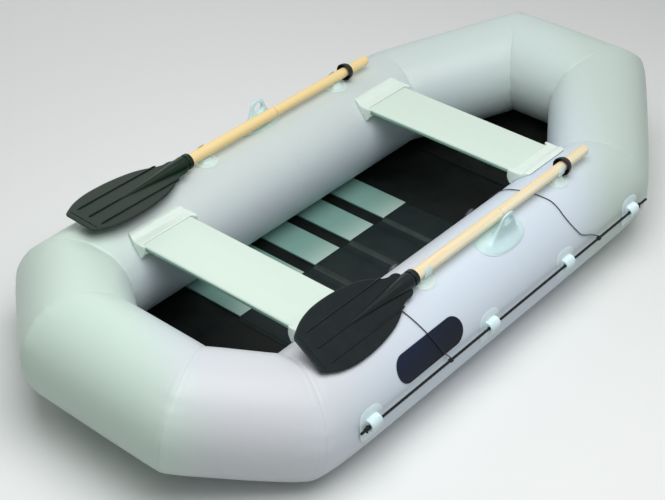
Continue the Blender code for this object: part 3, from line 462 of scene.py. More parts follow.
def weld_profile(gap, taped):
    """The skin's dip at a weld and the thin tape over it; a side tube's butt seam hardly dips."""
    dip = -weld_draw * math.exp(-gap / weld_reach)
    edge = min(1.0, max(0.0, (weld_tape - gap) / tape_edge))
    if not taped:
        return dip * 0.10 + tape_rise * 0.8 * edge
    return dip + tape_rise * edge * (0.25 if gap < 0.0008 else 1.0)


def sleeve_stations(length):
    """Rings close together by the welds and wide apart between them."""
    close = [0, 0.0007, 0.0020, 0.0045, 0.0080, 0.0110, 0.0125, 0.0135, 0.0150, 0.0180, 0.0225,
             0.0280, 0.0350, 0.0430, 0.0520, 0.0630, 0.0760]
    middle = max(4, round((length - 2 * close[-1]) / 0.022))
    span = length - 2 * close[-1]
    inner = [close[-1] + span * step / middle for step in range(1, middle)]
    return close + inner + [length - value for value in reversed(close)]


def air_sleeve(name, start, end, start_normal, end_normal, near, far, seeds, taped, draws,
               material):
    """One sleeve between two mitre planes, with its wall, welds and puckers. Near and far list the
    directions round it at its ends, and draws tell how far the outside of each bend draws in."""
    axis = (end - start).normalized()
    length = (end - start).length
    stations = sleeve_stations(length)
    walls = []
    for inset in (0.0, fabric_wall):
        rings = []
        for station in stations:
            share = station / length
            ring = []
            for index in range(sleeve_sides):
                direction = near[index].lerp(far[index], share).normalized()
                to_near, to_far = station, length - station
                radius = tube_radius + skin_proud - inset
                radius += weld_profile(to_near, taped[0]) + weld_profile(to_far, taped[1])
                radius += (pucker(index, seeds[0], to_near)
                           * (1.0 if taped[0] else butt_pucker_share))
                radius += (pucker(index, seeds[1], to_far)
                           * (1.0 if taped[1] else butt_pucker_share))
                radius -= (draws[0] * max(0.0, direction.dot(start_normal))
                           * math.exp(-to_near / draw_reach))
                radius -= (draws[1] * max(0.0, -direction.dot(end_normal))
                           * math.exp(-to_far / draw_reach))
                first = ((seam_gap / 2 - radius * direction.dot(start_normal))
                         / axis.dot(start_normal))
                last = ((-seam_gap / 2 - radius * direction.dot(end_normal))
                        / axis.dot(end_normal))
                run = first + (length + last - first) * share
                ring.append(start + radius * direction + run * axis)
            rings.append(ring)
        walls.append(rings)
    along = stations + list(reversed(stations))
    mesh = skinned(walls[0] + list(reversed(walls[1])), closed_run=True, name=name,
                   metres=(2 * math.pi * tube_radius, along))
    return link_piece(name, mesh, material)


def fading(material, way, start, end):
    """A share that grows smoothly along a direction through the boat."""
    where = add_node(material, "TexCoord")
    along = add_node(material, "VectorMath", {1: way}, operation="DOT_PRODUCT")
    fade = add_node(material, "MapRange", {"From Min": start, "From Max": end},
                    interpolation_type="SMOOTHSTEP")
    wire(material, (where, "Object", along, 0), (along, "Value", fade, "Value"))
    return fade


def tinted(material, under, tint, fade):
    """Lay a tint over a colour by a fading share."""
    blend = add_node(material, "Mix", data_type="RGBA")
    blend.inputs[7].default_value = (*tint, 1)
    wire(material, (fade, "Result", blend, 0), (under[0], under[1], blend, 6))
    return blend, 2


def woven(material, place, threads, wander, detail, joining, strength, distance, under=None):
    """Warp and weft as relief: two waves across one another, added or the higher of them."""
    where = add_node(material, "TexCoord")
    yarn = {"Scale": threads, "Distortion": wander, "Detail": detail}
    warp = add_node(material, "TexWave", yarn)
    weft = add_node(material, "TexWave", yarn, bands_direction="Y")
    weave = add_node(material, "Math", operation=joining)
    wire(material, (where, place, warp, "Vector"), (where, place, weft, "Vector"),
         (warp, "Fac", weave, 0), (weft, "Fac", weave, 1))
    relief(material, weave, "Value", strength, distance, under)


def coated_fabric(name):
    """Supported vinyl, satin and grey-white, with faint clouds, and a fine woven backing just shows
    through the coat. Over it lies painted light, tinted by direction: painted bluish shade low on
    the port tube's inboard face, a painted green reflection aft, painted grey and lilac light along
    the starboard side, a greyer mint at the bow and painted shade at the starboard bow."""
    material = new_finish(name, (0.66, 0.755, 0.73), 0.40, Coat_Weight=0.10, Coat_Roughness=0.35,
                          Sheen_Weight=0.06, Specular_IOR_Level=0.35)
    cloud, ramp = mottle(material, (0.64, 0.715, 0.71), (0.665, 0.74, 0.735), 3.2, 0.30, 0.66)
    gloss_drift(material, cloud, 0.36, 0.47)
    # Painted light and shade, tint by tint: bluish shade low on the port tube's inboard face, a
    # green reflection aft, grey and lilac light along the starboard side, greyer mint at the bow
    # and darker shade at its starboard end.
    painted_tint = tinted(material, (ramp, "Color"), (0.635, 0.715, 0.775),
                  fading(material, (0.0, -1.0, -0.6), -0.50, -0.33))
    painted_tint = tinted(material, painted_tint, (0.705, 0.725, 0.765),
                  fading(material, (0.0, -1.0, 0.0), 0.05, 0.36))
    painted_tint = tinted(material, painted_tint, (0.70, 0.785, 0.885),
                  fading(material, (0.35, -1.0, 0.0), 0.16, 0.42))
    painted_tint = tinted(material, painted_tint, (0.655, 0.805, 0.72),
                  fading(material, (-1.0, 0.6, 0.0), 0.80, 1.05))
    painted_tint = tinted(material, painted_tint, (0.655, 0.765, 0.74),
                  fading(material, (1.0, 0.1, 0.0), 0.45, 0.95))
    painted_tint = tinted(material, painted_tint, (0.590, 0.700, 0.645),
                  fading(material, (0.7, -0.9, 0.0), 0.66, 0.88))
    wire(material, (*painted_tint, material.node_tree.nodes["Principled BSDF"], "Base Color"))
    where = add_node(material, "TexCoord")
    dents = add_node(material, "TexNoise", {"Scale": 14, "Detail": 3})
    wire(material, (where, "Object", dents, "Vector"))
    soft_dents = relief(material, dents, "Fac", 0.10, 0.004)
    woven(material, "UV", threads=190, wander=0.4, detail=1, joining="ADD", strength=0.12,
          distance=0.00025, under=soft_dents)
    return material


hull_fabric = coated_fabric("hull_fabric")
side_walls = skin_directions()
end_runs = {}
sleeves = []
for side_name, side in (("port", 1), ("starboard", -1)):
    for end_name, corner, half in (("bow", bow_corner, "fore"), ("stern", stern_corner, "aft")):
        end = end_corners[end_name, side]
        side_axis = (corner - panel_seam).normalized()
        slant_axis = (end - corner).normalized()
        end_axis = Vector((0, -1, 0))
        first_mitre = (side_axis + slant_axis).normalized()
        second_mitre = (slant_axis + end_axis).normalized()
        slant_walls = [folded(way, first_mitre) for way in side_walls]
        end_walls = [folded(way, second_mitre) for way in slant_walls]
        seed = len(end_runs) * 3
        draw = long_corner_draw if side < 0 else corner_draw
        pieces = [(f"{side_name}_{half}_tube", panel_seam, corner, side_axis, first_mitre,
                   side_walls, side_walls, (40 + side, seed), (False, True), (0.0, draw)),
                  (f"{end_name}_{side_name}_tube", corner, end, first_mitre, second_mitre,
                   slant_walls, slant_walls, (seed, seed + 1), (True, True),
                   (draw, corner_draw))]
        for (node, near_point, far_point, near_plane, far_plane, near, far, seeds, taped,
             draws) in pieces:
            points = [near_point, far_point, near_plane, far_plane]
            if side < 0:
                points = [flipped(point) for point in points]
                near = [flipped(way) for way in near]
                far = [flipped(way) for way in far]
            sleeves.append((air_sleeve(node + "_skin", *points, near, far, seeds, taped,
                                       draws, hull_fabric), node))
        end_runs[end_name, side] = (end, second_mitre, end_walls, seed + 1)
for end_name in ("bow", "stern"):
    end, plane, walls, seed = end_runs[end_name, 1]
    far_end, far_plane, far_walls, far_seed = end_runs[end_name, -1]
    node = end_name + "_tube"
    sleeves.append((air_sleeve(node + "_skin", end, flipped(far_end), plane,
                               Vector((-far_plane.x, far_plane.y, -far_plane.z)), walls,
                               [flipped(way) for way in far_walls], (seed, far_seed),
                               (True, True), (corner_draw, corner_draw),
                               hull_fabric), node))
for sleeve, node in sleeves:
    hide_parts(node)
    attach(sleeve, "boat")

# Bulkheads
# A dished diaphragm of uncoated cloth at each side tube's middle weld parts the ring into a fore
# and an aft air chamber. It is out of sight.
baffle = new_finish("baffle_cloth", (0.52, 0.55, 0.56), 0.70, Sheen_Weight=0.2)
mottle(baffle, (0.46, 0.49, 0.50), (0.56, 0.59, 0.60), 40)
for node in ("port_bulkhead", "starboard_bulkhead"):
    for place in bpy.data.objects[node].material_slots:
        place.material = baffle

# Bottom
# Black coated fabric in three panels, welded to the undersides of the tubes and to one another:
# a flat middle one and one that rises at either end. It is slack enough to wrinkle aft.
bottom_thickness = 0.0009
bottom_row, bottom_columns = 0.010, 72
fold_rise, crease_rise = 0.0035, 0.0022
held_margin, tube_held, side_ease = 0.05, 0.36, 0.06
slat_count = 5
slat_start = along_side(0.2452)
slat_pitch = along_side(0.1167) - stern_corner.x
slat_width = slat_pitch * 0.70
slats_held = 0.03


def panel_corners(node):
    """The upper corners of a bottom panel of the frame: port near, port far, starboard both."""
    points = {tuple(round(value, 6) for value in vertex.co)
              for vertex in bpy.data.objects[node].data.vertices}
    ordered = sorted(points)
    found = []
    for group in (ordered[:4], ordered[-4:]):
        for side in (1, -1):
            found.append(Vector(max((p for p in group if p[1] * side > 0), key=lambda p: p[2])))
    return found


def free_floor(x, y, low_x, high_x):
    """How free the fabric is to wrinkle: fully between boards and welds, not at all under them."""
    ends = min(1.0, max(0.0, (x - low_x) / held_margin), max(0.0, (high_x - x) / held_margin))
    slats = 1.0
    if slat_start - slats_held < x < slat_start + slat_count * slat_pitch:
        slats = 0.0
    sides = min(1.0, max(0.0, (tube_held - abs(y)) / side_ease))
    return ends * slats * sides


bottom_cloth = new_finish("bottom_cloth", (0.004, 0.006, 0.006), 0.50, Specular_IOR_Level=0.15)
bottom_cloud, _ = mottle(bottom_cloth, (0.002, 0.003, 0.003), (0.008, 0.011, 0.010), 9)
gloss_drift(bottom_cloth, bottom_cloud, 0.42, 0.60)
woven(bottom_cloth, "Object", threads=150, wander=0.5, detail=2, joining="ADD", strength=0.25,
      distance=0.0003)

for node in ("stern_bottom_panel", "bottom_panel", "bow_bottom_panel"):
    near_port, near_starboard, far_port, far_starboard = panel_corners(node)
    long_steps = max(12, round((far_port - near_port).length / bottom_row))
    form = bmesh.new()
    upper, lower = [], []
    for step in range(long_steps + 1):
        share = step / long_steps
        port, starboard = near_port.lerp(far_port, share), near_starboard.lerp(far_starboard, share)
        for cross in range(bottom_columns + 1):
            point = port.lerp(starboard, cross / bottom_columns)
            fold = noise.noise(Vector((point.x * 5 + point.y * 3, point.y * 14, 3.0)))
            crease = noise.noise(Vector((point.x * 16, point.y * 5 - point.x * 6, 8.0)))
            lift = fold_rise * max(0.0, fold + 0.1) + crease_rise * max(0.0, crease)
            point.z += lift * free_floor(point.x, point.y, near_port.x, far_port.x)
            upper.append(form.verts.new(point))
            lower.append(form.verts.new(point - Vector((0, 0, bottom_thickness))))
    width = bottom_columns + 1
    for layer, order in ((upper, 1), (lower, -1)):
        for step in range(long_steps):
            for cross in range(bottom_columns):
                first = step * width + cross
                quad = [layer[first], layer[first + 1], layer[first + width + 1],
                        layer[first + width]]
                form.faces.new(quad[::order])
    edge = ([cross for cross in range(bottom_columns)]
            + [step * width + bottom_columns for step in range(long_steps)]
            + [long_steps * width + bottom_columns - cross for cross in range(bottom_columns)]
            + [(long_steps - step) * width for step in range(long_steps)])
    for here, there in zip(edge, edge[1:] + edge[:1]):
        form.faces.new((upper[here], lower[here], lower[there], upper[there]))
    bmesh.ops.recalc_face_normals(form, faces=form.faces)
    panel_mesh = bpy.data.meshes.new(node + "_cloth")
    form.to_mesh(panel_mesh)
    form.free()
    panel = link_piece(node + "_cloth", panel_mesh, bottom_cloth)
    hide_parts(node)
    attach(panel, "boat")

# Floor slats
# Five pale boards laid across the bottom, 121 mm wide and 8 mm thick, with softened edges. They
# slip in under the tubes at their ends, and one after another they are the same board.
board_low, board_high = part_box("floor_slat_1")
slat_rounding, board_corner_steps = 0.0026, 5


def rounded_section(corners, radius, steps):
    """A closed outline whose corners are turned in quarter rounds."""
    outline = []
    for index, corner in enumerate(corners):
        here = Vector(corner)
        before = (Vector(corners[index - 1]) - here).normalized()
        after = (Vector(corners[(index + 1) % len(corners)]) - here).normalized()
        middle = here + radius * (before + after)
        for step in range(steps + 1):
            turn = math.pi / 2 * step / steps
            outline.append(middle - radius * (after * math.cos(turn) + before * math.sin(turn)))
    return outline


def board(name, low, high, radius, lengths, material, edge_shade):
    """A board across the boat with rounded long edges; its edge faces take a darker copy of its
    finish as painted shade.
    """
    corners = ((low[0], low[2]), (high[0], low[2]), (high[0], high[2]), (low[0], high[2]))
    section = rounded_section(corners, radius, board_corner_steps)
    rings = []
    for step in range(lengths + 1):
        station = low[1] + (high[1] - low[1]) * step / lengths
        rings.append([Vector((point.x, station, point.y)) for point in section])
    mesh = skinned(rings, name=name)
    piece = link_piece(name, mesh, material)
    mesh.materials.append(edge_shade)
    # Faces that neither face up nor straight down take the darker copy: painted shade on the edges.
    for face in mesh.polygons:
        if -0.9 < face.normal.z < 0.45:
            face.material_index = 1
    mesh.set_sharp_from_angle(angle=math.radians(40))
    return piece


def painted_board(name, shade, light, roughness, port_painted_tint=None):
    """Boards finished in a pale mint lacquer that a little of the long grain still shows through;
    darker copies of it serve as painted shade on edges, and the port ends can take painted shade of
    their own."""
    material = new_finish(name, light, roughness, Coat_Weight=0.20, Coat_Roughness=0.25)
    cloud, ramp = mottle(material, shade, light, 22, 0.25, 0.75, stretch=(1, 0.10, 1))
    gloss_drift(material, cloud, roughness - 0.06, roughness + 0.08)
    relief(material, cloud, "Fac", 0.06, 0.0006)
    # Painted shade: the boards grow darker towards the port tube.
    if port_painted_tint:
        painted_tint = tinted(material, (ramp, "Color"), port_painted_tint,
                      fading(material, (0.0, 1.0, 0.0), 0.02, 0.22))
        wire(material, (*painted_tint, material.node_tree.nodes["Principled BSDF"], "Base Color"))
    return material


# The slats darken to teal towards the port tube: painted shade.
slat_paint = painted_board("slat_lacquer", (0.56, 0.69, 0.62), (0.60, 0.73, 0.655), 0.42,
                           (0.21, 0.38, 0.33))
# A darker teal copy of the slat lacquer for their edges: painted shade.
slat_edge_shade = painted_board("slat_edge_shade_lacquer", (0.10, 0.28, 0.24), (0.20, 0.42, 0.36), 0.40)
slat_item = board("floor_slat_pattern", board_low, board_high, slat_rounding, 24, slat_paint,
                  slat_edge_shade)


def row_tree():
    """Copies of one item in a straight row, at an even step; faces of its second slot get the
    painted edge shade."""
    tree = bpy.data.node_groups.new("even_row", "GeometryNodeTree")
    for label, kind in (("Geometry", "NodeSocketGeometry"), ("Count", "NodeSocketInt"),
                        ("Step", "NodeSocketVector"), ("Edge Shade", "NodeSocketMaterial")):
        tree.interface.new_socket(label, in_out="INPUT", socket_type=kind)
    tree.interface.new_socket("Geometry", in_out="OUTPUT", socket_type="NodeSocketGeometry")
    given = tree.nodes.new("NodeGroupInput")
    result = tree.nodes.new("NodeGroupOutput")
    line = tree.nodes.new("GeometryNodeMeshLine")
    line.mode = "OFFSET"
    copies = tree.nodes.new("GeometryNodeInstanceOnPoints")
    real = tree.nodes.new("GeometryNodeRealizeInstances")
    slot_number = tree.nodes.new("GeometryNodeInputMaterialIndex")
    on_edge = tree.nodes.new("FunctionNodeCompare")
    on_edge.data_type = "INT"
    on_edge.operation = "EQUAL"
    on_edge.inputs[3].default_value = 1
    finish = tree.nodes.new("GeometryNodeSetMaterial")
    link = tree.links.new
    link(given.outputs["Count"], line.inputs["Count"])
    link(given.outputs["Step"], line.inputs["Offset"])
    link(line.outputs["Mesh"], copies.inputs["Points"])
    link(given.outputs["Geometry"], copies.inputs["Instance"])
    link(copies.outputs["Instances"], real.inputs["Geometry"])
    link(real.outputs["Geometry"], finish.inputs["Geometry"])
    link(slot_number.outputs["Material Index"], on_edge.inputs[2])
    link(on_edge.outputs["Result"], finish.inputs["Selection"])
    link(given.outputs["Edge Shade"], finish.inputs["Material"])
    link(finish.outputs["Geometry"], result.inputs["Geometry"])
    return tree


def set_inputs(modifier, values):
    """Give a nodes modifier its inputs by their sockets' own identifiers."""
    for item in modifier.node_group.interface.items_tree:
        if item.item_type == "SOCKET" and item.in_out == "INPUT" and item.name in values:
            modifier[item.identifier] = values[item.name]


def settled(source, name):
    """The plain mesh of an object with its modifiers worked out, as a piece of its own."""
    bpy.context.view_layer.update()
    seen = source.evaluated_get(bpy.context.evaluated_depsgraph_get())
    mesh = bpy.data.meshes.new_from_object(seen)
    mesh.name = name
    old_mesh = source.data
    bpy.data.objects.remove(source, do_unlink=True)
    if old_mesh.users == 0 and isinstance(old_mesh, bpy.types.Mesh):
        bpy.data.meshes.remove(old_mesh)
    piece = bpy.data.objects.new(name, mesh)
    scene.collection.objects.link(piece)
    return piece


even_row = row_tree()
slat_row = slat_item.modifiers.new("row", "NODES")
slat_row.node_group = even_row
set_inputs(slat_row, {"Count": slat_count, "Step": (slat_pitch, 0, 0),
                      "Edge Shade": slat_edge_shade})
slats = settled(slat_item, "floor_slats")
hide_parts(*[f"floor_slat_{index}" for index in range(1, slat_count + 1)])
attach(slats, "boat")

# Slat sleeve
# Thin black fabric over the starboard part of the slats. It is sewn down to the bottom between
# them, so each board pulls it taut, and where it bends over the aft edges it is painted paler and
# tealer as a painted highlight. Two rows of stitches run along its port hem and one along either
# side of each board.
sleeve_low, sleeve_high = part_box("slat_sleeve")
sleeve_skirt = (slat_pitch - slat_width) * 0.23
sleeve_thick = 0.0009
sleeve_columns = 90
sleeve_ripple = 0.0007
bend_run, bend_overhang = 0.0022, 0.0004
bend_foot, bend_drop = 0.0042, 0.0012
sleeve_cloth = new_finish("sleeve_cloth", (0.008, 0.014, 0.014), 0.55, Specular_IOR_Level=0.18)
sleeve_cloud, _ = mottle(sleeve_cloth, (0.005, 0.010, 0.011), (0.010, 0.018, 0.018), 12)
gloss_drift(sleeve_cloth, sleeve_cloud, 0.42, 0.62)
woven(sleeve_cloth, "Object", threads=210, wander=0.3, detail=2, joining="MAXIMUM",
      strength=0.35, distance=0.0003)

sleeve_base = sleeve_low.z
sleeve_top = board_high.z + skin_gap
sleeve_path = []
for index in range(slat_count):
    near_edge = slat_start + index * slat_pitch
    far_edge = near_edge + slat_width
    sleeve_path += [(near_edge - sleeve_skirt, sleeve_base),
                    (near_edge - bend_run, sleeve_base + bend_foot),
                    (near_edge - bend_overhang, sleeve_top - bend_drop),
                    (near_edge + bend_run, sleeve_top)]
    sleeve_path += [(near_edge + slat_width * share, sleeve_top) for share in (0.2, 0.4, 0.6, 0.8)]
    sleeve_path += [(far_edge - bend_run, sleeve_top),
                    (far_edge + bend_overhang, sleeve_top - bend_drop),
                    (far_edge + bend_run, sleeve_base + bend_foot),
                    (far_edge + sleeve_skirt, sleeve_base)]
    if index < slat_count - 1:
        middle = far_edge + (slat_pitch - slat_width) / 2
        sleeve_path.append((middle, sleeve_base))
sleeve_rows = []
for column in range(sleeve_columns + 1):
    across_share = column / sleeve_columns
    station = sleeve_low.y + (sleeve_high.y - sleeve_low.y) * across_share
    row = []
    for x, z in sleeve_path:
        ripple = sleeve_ripple * max(0.0, noise.noise(Vector((x * 30, station * 9, 1.0))))
        row.append(Vector((x, station, z + sleeve_thick + ripple)))
    sleeve_rows.append(row + [point - Vector((0, 0, sleeve_thick)) for point in reversed(row)])
sleeve_mesh = skinned(sleeve_rows, name="slat_sleeve_cloth")
slat_sleeve = link_piece("slat_sleeve_cloth", sleeve_mesh, sleeve_cloth)
sleeve_mesh.set_sharp_from_angle(angle=math.radians(50))
# Faces turned aft over the board edges take a paler teal copy of the cloth: a painted highlight.
highlight_cloth = new_finish("sleeve_cloth_highlight", (0.017, 0.029, 0.025), 0.50, Specular_IOR_Level=0.3)
highlight_cloud, _ = mottle(highlight_cloth, (0.013, 0.023, 0.020), (0.021, 0.036, 0.031), 30)
gloss_drift(highlight_cloth, highlight_cloud, 0.40, 0.58)
sleeve_mesh.materials.append(highlight_cloth)
for face in sleeve_mesh.polygons:
    if face.normal.x < -0.35 and face.normal.z > -0.2:
        face.material_index = 1

hem_width, hem_inset, hem_steps = 0.016, 0.003, 12
side_seam_inset, side_seam_share, side_seam_steps = 0.012, 0.55, 30
thread_rise, side_thread_rise = 0.0004, 0.0028
stitch_pitch, stitch_length, thread_radius = 0.0062, 0.0042, 0.0005


def stitch_tree():
    """Stitches along a seam line: short rounded threads, evenly spaced, turned along the line."""
    tree = bpy.data.node_groups.new("seam_stitches", "GeometryNodeTree")
    for label, kind in (("Geometry", "NodeSocketGeometry"), ("Stitch Pitch", "NodeSocketFloat"),
                        ("Stitch Length", "NodeSocketFloat"), ("Thread Radius", "NodeSocketFloat"),
                        ("Thread", "NodeSocketMaterial")):
        tree.interface.new_socket(label, in_out="INPUT", socket_type=kind)
    tree.interface.new_socket("Geometry", in_out="OUTPUT", socket_type="NodeSocketGeometry")
    given = tree.nodes.new("NodeGroupInput")
    result = tree.nodes.new("NodeGroupOutput")
    to_curve = tree.nodes.new("GeometryNodeMeshToCurve")
    spread = tree.nodes.new("GeometryNodeCurveToPoints")
    spread.mode = "LENGTH"
    thread = tree.nodes.new("GeometryNodeMeshUVSphere")
    thread.inputs["Segments"].default_value = 8
    thread.inputs["Rings"].default_value = 5
    thread.inputs["Radius"].default_value = 1.0
    stretch = tree.nodes.new("ShaderNodeCombineXYZ")
    half = tree.nodes.new("ShaderNodeMath")
    half.operation = "MULTIPLY"
    half.inputs[1].default_value = 0.5
    squeeze = tree.nodes.new("GeometryNodeTransform")
    aim = tree.nodes.new("FunctionNodeAlignRotationToVector")
    aim.axis = "X"
    copies = tree.nodes.new("GeometryNodeInstanceOnPoints")
    real = tree.nodes.new("GeometryNodeRealizeInstances")
    finish = tree.nodes.new("GeometryNodeSetMaterial")
    link = tree.links.new
    link(given.outputs["Geometry"], to_curve.inputs["Mesh"])
    link(to_curve.outputs["Curve"], spread.inputs["Curve"])
    link(given.outputs["Stitch Pitch"], spread.inputs["Length"])
    link(given.outputs["Stitch Length"], half.inputs[0])
    link(half.outputs["Value"], stretch.inputs["X"])
    link(given.outputs["Thread Radius"], stretch.inputs["Y"])
    link(given.outputs["Thread Radius"], stretch.inputs["Z"])
    link(thread.outputs["Mesh"], squeeze.inputs["Geometry"])
    link(stretch.outputs["Vector"], squeeze.inputs["Scale"])
    link(spread.outputs["Tangent"], aim.inputs["Vector"])
    link(spread.outputs["Points"], copies.inputs["Points"])
    link(squeeze.outputs["Geometry"], copies.inputs["Instance"])
    link(aim.outputs["Rotation"], copies.inputs["Rotation"])
    link(copies.outputs["Instances"], real.inputs["Geometry"])
    link(real.outputs["Geometry"], finish.inputs["Geometry"])
    link(given.outputs["Thread"], finish.inputs["Material"])
    link(finish.outputs["Geometry"], result.inputs["Geometry"])
    return tree


seam_stitches = stitch_tree()


def stitched(name, lines, pitch, length, radius, thread):
    """Stitches along several seam lines as one plain mesh."""
    points, edges = [], []
    for line in lines:
        start = len(points)
        points += [tuple(point) for point in line]
        edges += [(index, index + 1) for index in range(start, len(points) - 1)]
    seam_mesh = bpy.data.meshes.new(name)
    seam_mesh.from_pydata(points, edges, [])
    seam = bpy.data.objects.new(name, seam_mesh)
    scene.collection.objects.link(seam)
    sewing = seam.modifiers.new("sewing", "NODES")
    sewing.node_group = seam_stitches
    set_inputs(sewing, {"Stitch Pitch": pitch, "Stitch Length": length, "Thread Radius": radius,
                        "Thread": thread})
    return settled(seam, name)


black_thread = new_finish("black_thread", (0.014, 0.018, 0.018), 0.60, Specular_IOR_Level=0.2)
mottle(black_thread, (0.010, 0.013, 0.013), (0.022, 0.027, 0.027), 900)
seam_lines = []
for index in range(slat_count):
    hem_start = slat_start + index * slat_pitch + hem_inset
    hem_end = slat_start + index * slat_pitch + slat_width - hem_inset
    for inset in (hem_inset, hem_width - hem_inset):
        seam_lines.append([(hem_start + (hem_end - hem_start) * step / hem_steps,
                            sleeve_high.y - inset, sleeve_top + sleeve_thick + thread_rise)
                           for step in range(hem_steps + 1)])
seam_low = sleeve_low.y + side_seam_inset
seam_run = sleeve_high.y - sleeve_low.y - 2 * side_seam_inset
for index in range(slat_count):
    near_edge = slat_start + index * slat_pitch
    for station in (near_edge - sleeve_skirt * side_seam_share,
                    near_edge + slat_width + sleeve_skirt * side_seam_share):
        seam_lines.append([(station, seam_low + seam_run * step / side_seam_steps,
                            sleeve_base + side_thread_rise)
                           for step in range(side_seam_steps + 1)])
sleeve_stitches = stitched("slat_sleeve_stitches", seam_lines, stitch_pitch, stitch_length,
                           thread_radius, black_thread)
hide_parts("slat_sleeve")
for piece in (slat_sleeve, sleeve_stitches):
    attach(piece, "boat")

# Thwarts
# Two seat boards, 196 mm wide and 18 mm thick, lacquered pale mint on their faces, with a darker
# teal copy of the lacquer on their edges as painted shade. Their ends are pushed into the moulded
# hoods before the tubes are pumped up.
thwart_rounding = 0.0070
seat_paint = painted_board("thwart_lacquer", (0.705, 0.840, 0.750), (0.735, 0.865, 0.775), 0.34)
# A darker teal copy of the seat lacquer for their edges: painted shade.
seat_edge_shade = painted_board("thwart_edge_shade_lacquer", (0.27, 0.50, 0.42), (0.40, 0.65, 0.54), 0.36)
for node in ("aft_thwart", "fore_thwart"):
    low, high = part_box(node)
    thwart = board(node + "_board", low, high, thwart_rounding, 40, seat_paint, seat_edge_shade)
    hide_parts(node)
    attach(thwart, "boat")

# Thwart hoods
# Four moulded pockets of soft mint plastic, bonded to the shoulders of the tubes. Each has rounded
# edges and stands a little higher than the board, with a narrow gap round the board's end.
hood_raise, hood_crown = 0.0040, 0.001
mouth_reach, mouth_depth = 0.004, 0.013
mouth_side, mouth_below, mouth_above = 0.0030, 0.0020, 0.0052
melting_grain, easing_rounds = 0.0016, 26


def soft_plastic(name, shade, light, roughness=0.30):
    """Flexible milky plastic: light goes a little way in and its edges look deeper in colour."""
    material = new_finish(name, light, roughness, Subsurface_Weight=0.18, Subsurface_Scale=0.012,
                          Coat_Weight=0.15, Coat_Roughness=0.25, Specular_IOR_Level=0.45)
    material.node_tree.nodes["Principled BSDF"].inputs["Subsurface Radius"].default_value = (
        0.6, 1.0, 0.85)
    cloud, _ = mottle(material, shade, light, 34, 0.30, 0.66)
    gloss_drift(material, cloud, roughness - 0.05, roughness + 0.12)
    relief(material, cloud, "Fac", 0.10, 0.0008)
    return material


hood_plastic = soft_plastic("hood_plastic", (0.78, 0.92, 0.84), (0.82, 0.95, 0.87))


def joined_shells(name, shells, placed=Matrix.Identity(4)):
    """Several closed skins put together as one mesh, in their place in the boat."""
    form = bmesh.new()
    for rings in shells:
        loops = [[form.verts.new(placed @ point) for point in ring] for ring in rings]
        count = len(loops[0])
        faces = []
        for near, far in zip(loops, loops[1:]):
            for index in range(count):
                after = (index + 1) % count
                faces.append(form.faces.new((near[index], near[after], far[after], far[index])))
        faces.append(form.faces.new(list(reversed(loops[0]))))
        faces.append(form.faces.new(loops[-1]))
        bmesh.ops.recalc_face_normals(form, faces=faces)
    mesh = bpy.data.meshes.new(name)
    form.to_mesh(mesh)
    form.free()
    return mesh


def box_shell(low, high):
    """A small closed block as two rings."""
    corners = ((low[0], low[1]), (high[0], low[1]), (high[0], high[1]), (low[0], high[1]))
    return [[Vector((x, y, z)) for x, y in corners] for z in (low[2], high[2])]


for end_name in ("aft", "fore"):
    board_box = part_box(end_name + "_thwart")
    for side_name, side in (("port", 1), ("starboard", -1)):
        node = f"{end_name}_{side_name}_hood"
        low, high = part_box(node)
        lip = low.y if side > 0 else high.y
        form = bmesh.new()
        form.from_mesh(bpy.data.objects[node].data)
        for corner in form.verts:
            if corner.co.z > high.z - hood_crown:
                corner.co.z += hood_raise
        hood_mesh = bpy.data.meshes.new(node + "_moulding")
        form.to_mesh(hood_mesh)
        form.free()
        hood_mesh.materials.clear()
        hood = link_piece(node + "_moulding", hood_mesh, hood_plastic)
        hollow = sorted((lip - mouth_reach * side, lip + mouth_depth * side))
        mouth_block = box_shell(
            (board_box[0].x - mouth_side, hollow[0], board_box[0].z - mouth_below),
            (board_box[1].x + mouth_side, hollow[1], board_box[1].z + mouth_above))
        mouth = link_piece(node + "_mouth", joined_shells(node + "_mouth", [mouth_block]),
                           hood_plastic)
        opening = hood.modifiers.new("mouth", "BOOLEAN")
        opening.object = mouth
        opening.solver = "EXACT"
        opening.operation = "DIFFERENCE"
        melting = hood.modifiers.new("melting", "REMESH")
        melting.mode = "VOXEL"
        melting.voxel_size = melting_grain
        easing = hood.modifiers.new("easing", "SMOOTH")
        easing.factor = 0.5
        easing.iterations = easing_rounds
        hood = settled(hood, node + "_moulding")
        hood.data.shade_smooth()
        mouth_mesh = mouth.data
        bpy.data.objects.remove(mouth, do_unlink=True)
        bpy.data.meshes.remove(mouth_mesh)
        hood.data.materials.clear()
        hood.data.materials.append(hood_plastic)
        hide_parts(node)
        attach(hood, "boat")

# Oar clips
# Four soft hooks on round pads bonded to the tops of the tubes, each moulded in one with its pad
# over a flared stem. An oar shaft is pressed in from inboard and above, and the springy outboard
# tongue holds it.
clip_plastic = soft_plastic("clip_plastic", (0.68, 0.86, 0.83), (0.75, 0.91, 0.88), 0.28)
oar_outset, oar_stand = 0.0104, 0.0345
oar_offset = axis_offset + oar_outset
oar_height = 2 * tube_radius + oar_stand
port_clip_lead, starboard_clip_lag = 0.008, 0.040
clip_stations = {("port", "aft"): along_side(0.3744) + port_clip_lead,
                 ("starboard", "aft"): along_side(0.3744) - starboard_clip_lag,
                 ("port", "fore"): along_side(0.7985),
                 ("starboard", "fore"): along_side(0.7985)}
held_radii = {"aft": 0.0182, "fore": 0.0165}
clip_angle = math.acos(oar_outset / tube_rim)
clip_pad_half, clip_pad_thick, pad_edge = 0.040, 0.0022, 0.0009
bore_ease, stem_overlap = 0.0004, 0.0008
hook_wall, hook_width, hook_flare, hook_sides = 0.0046, 0.034, 0.0022, 20
hook_start, hook_end = math.radians(54), math.radians(-132)
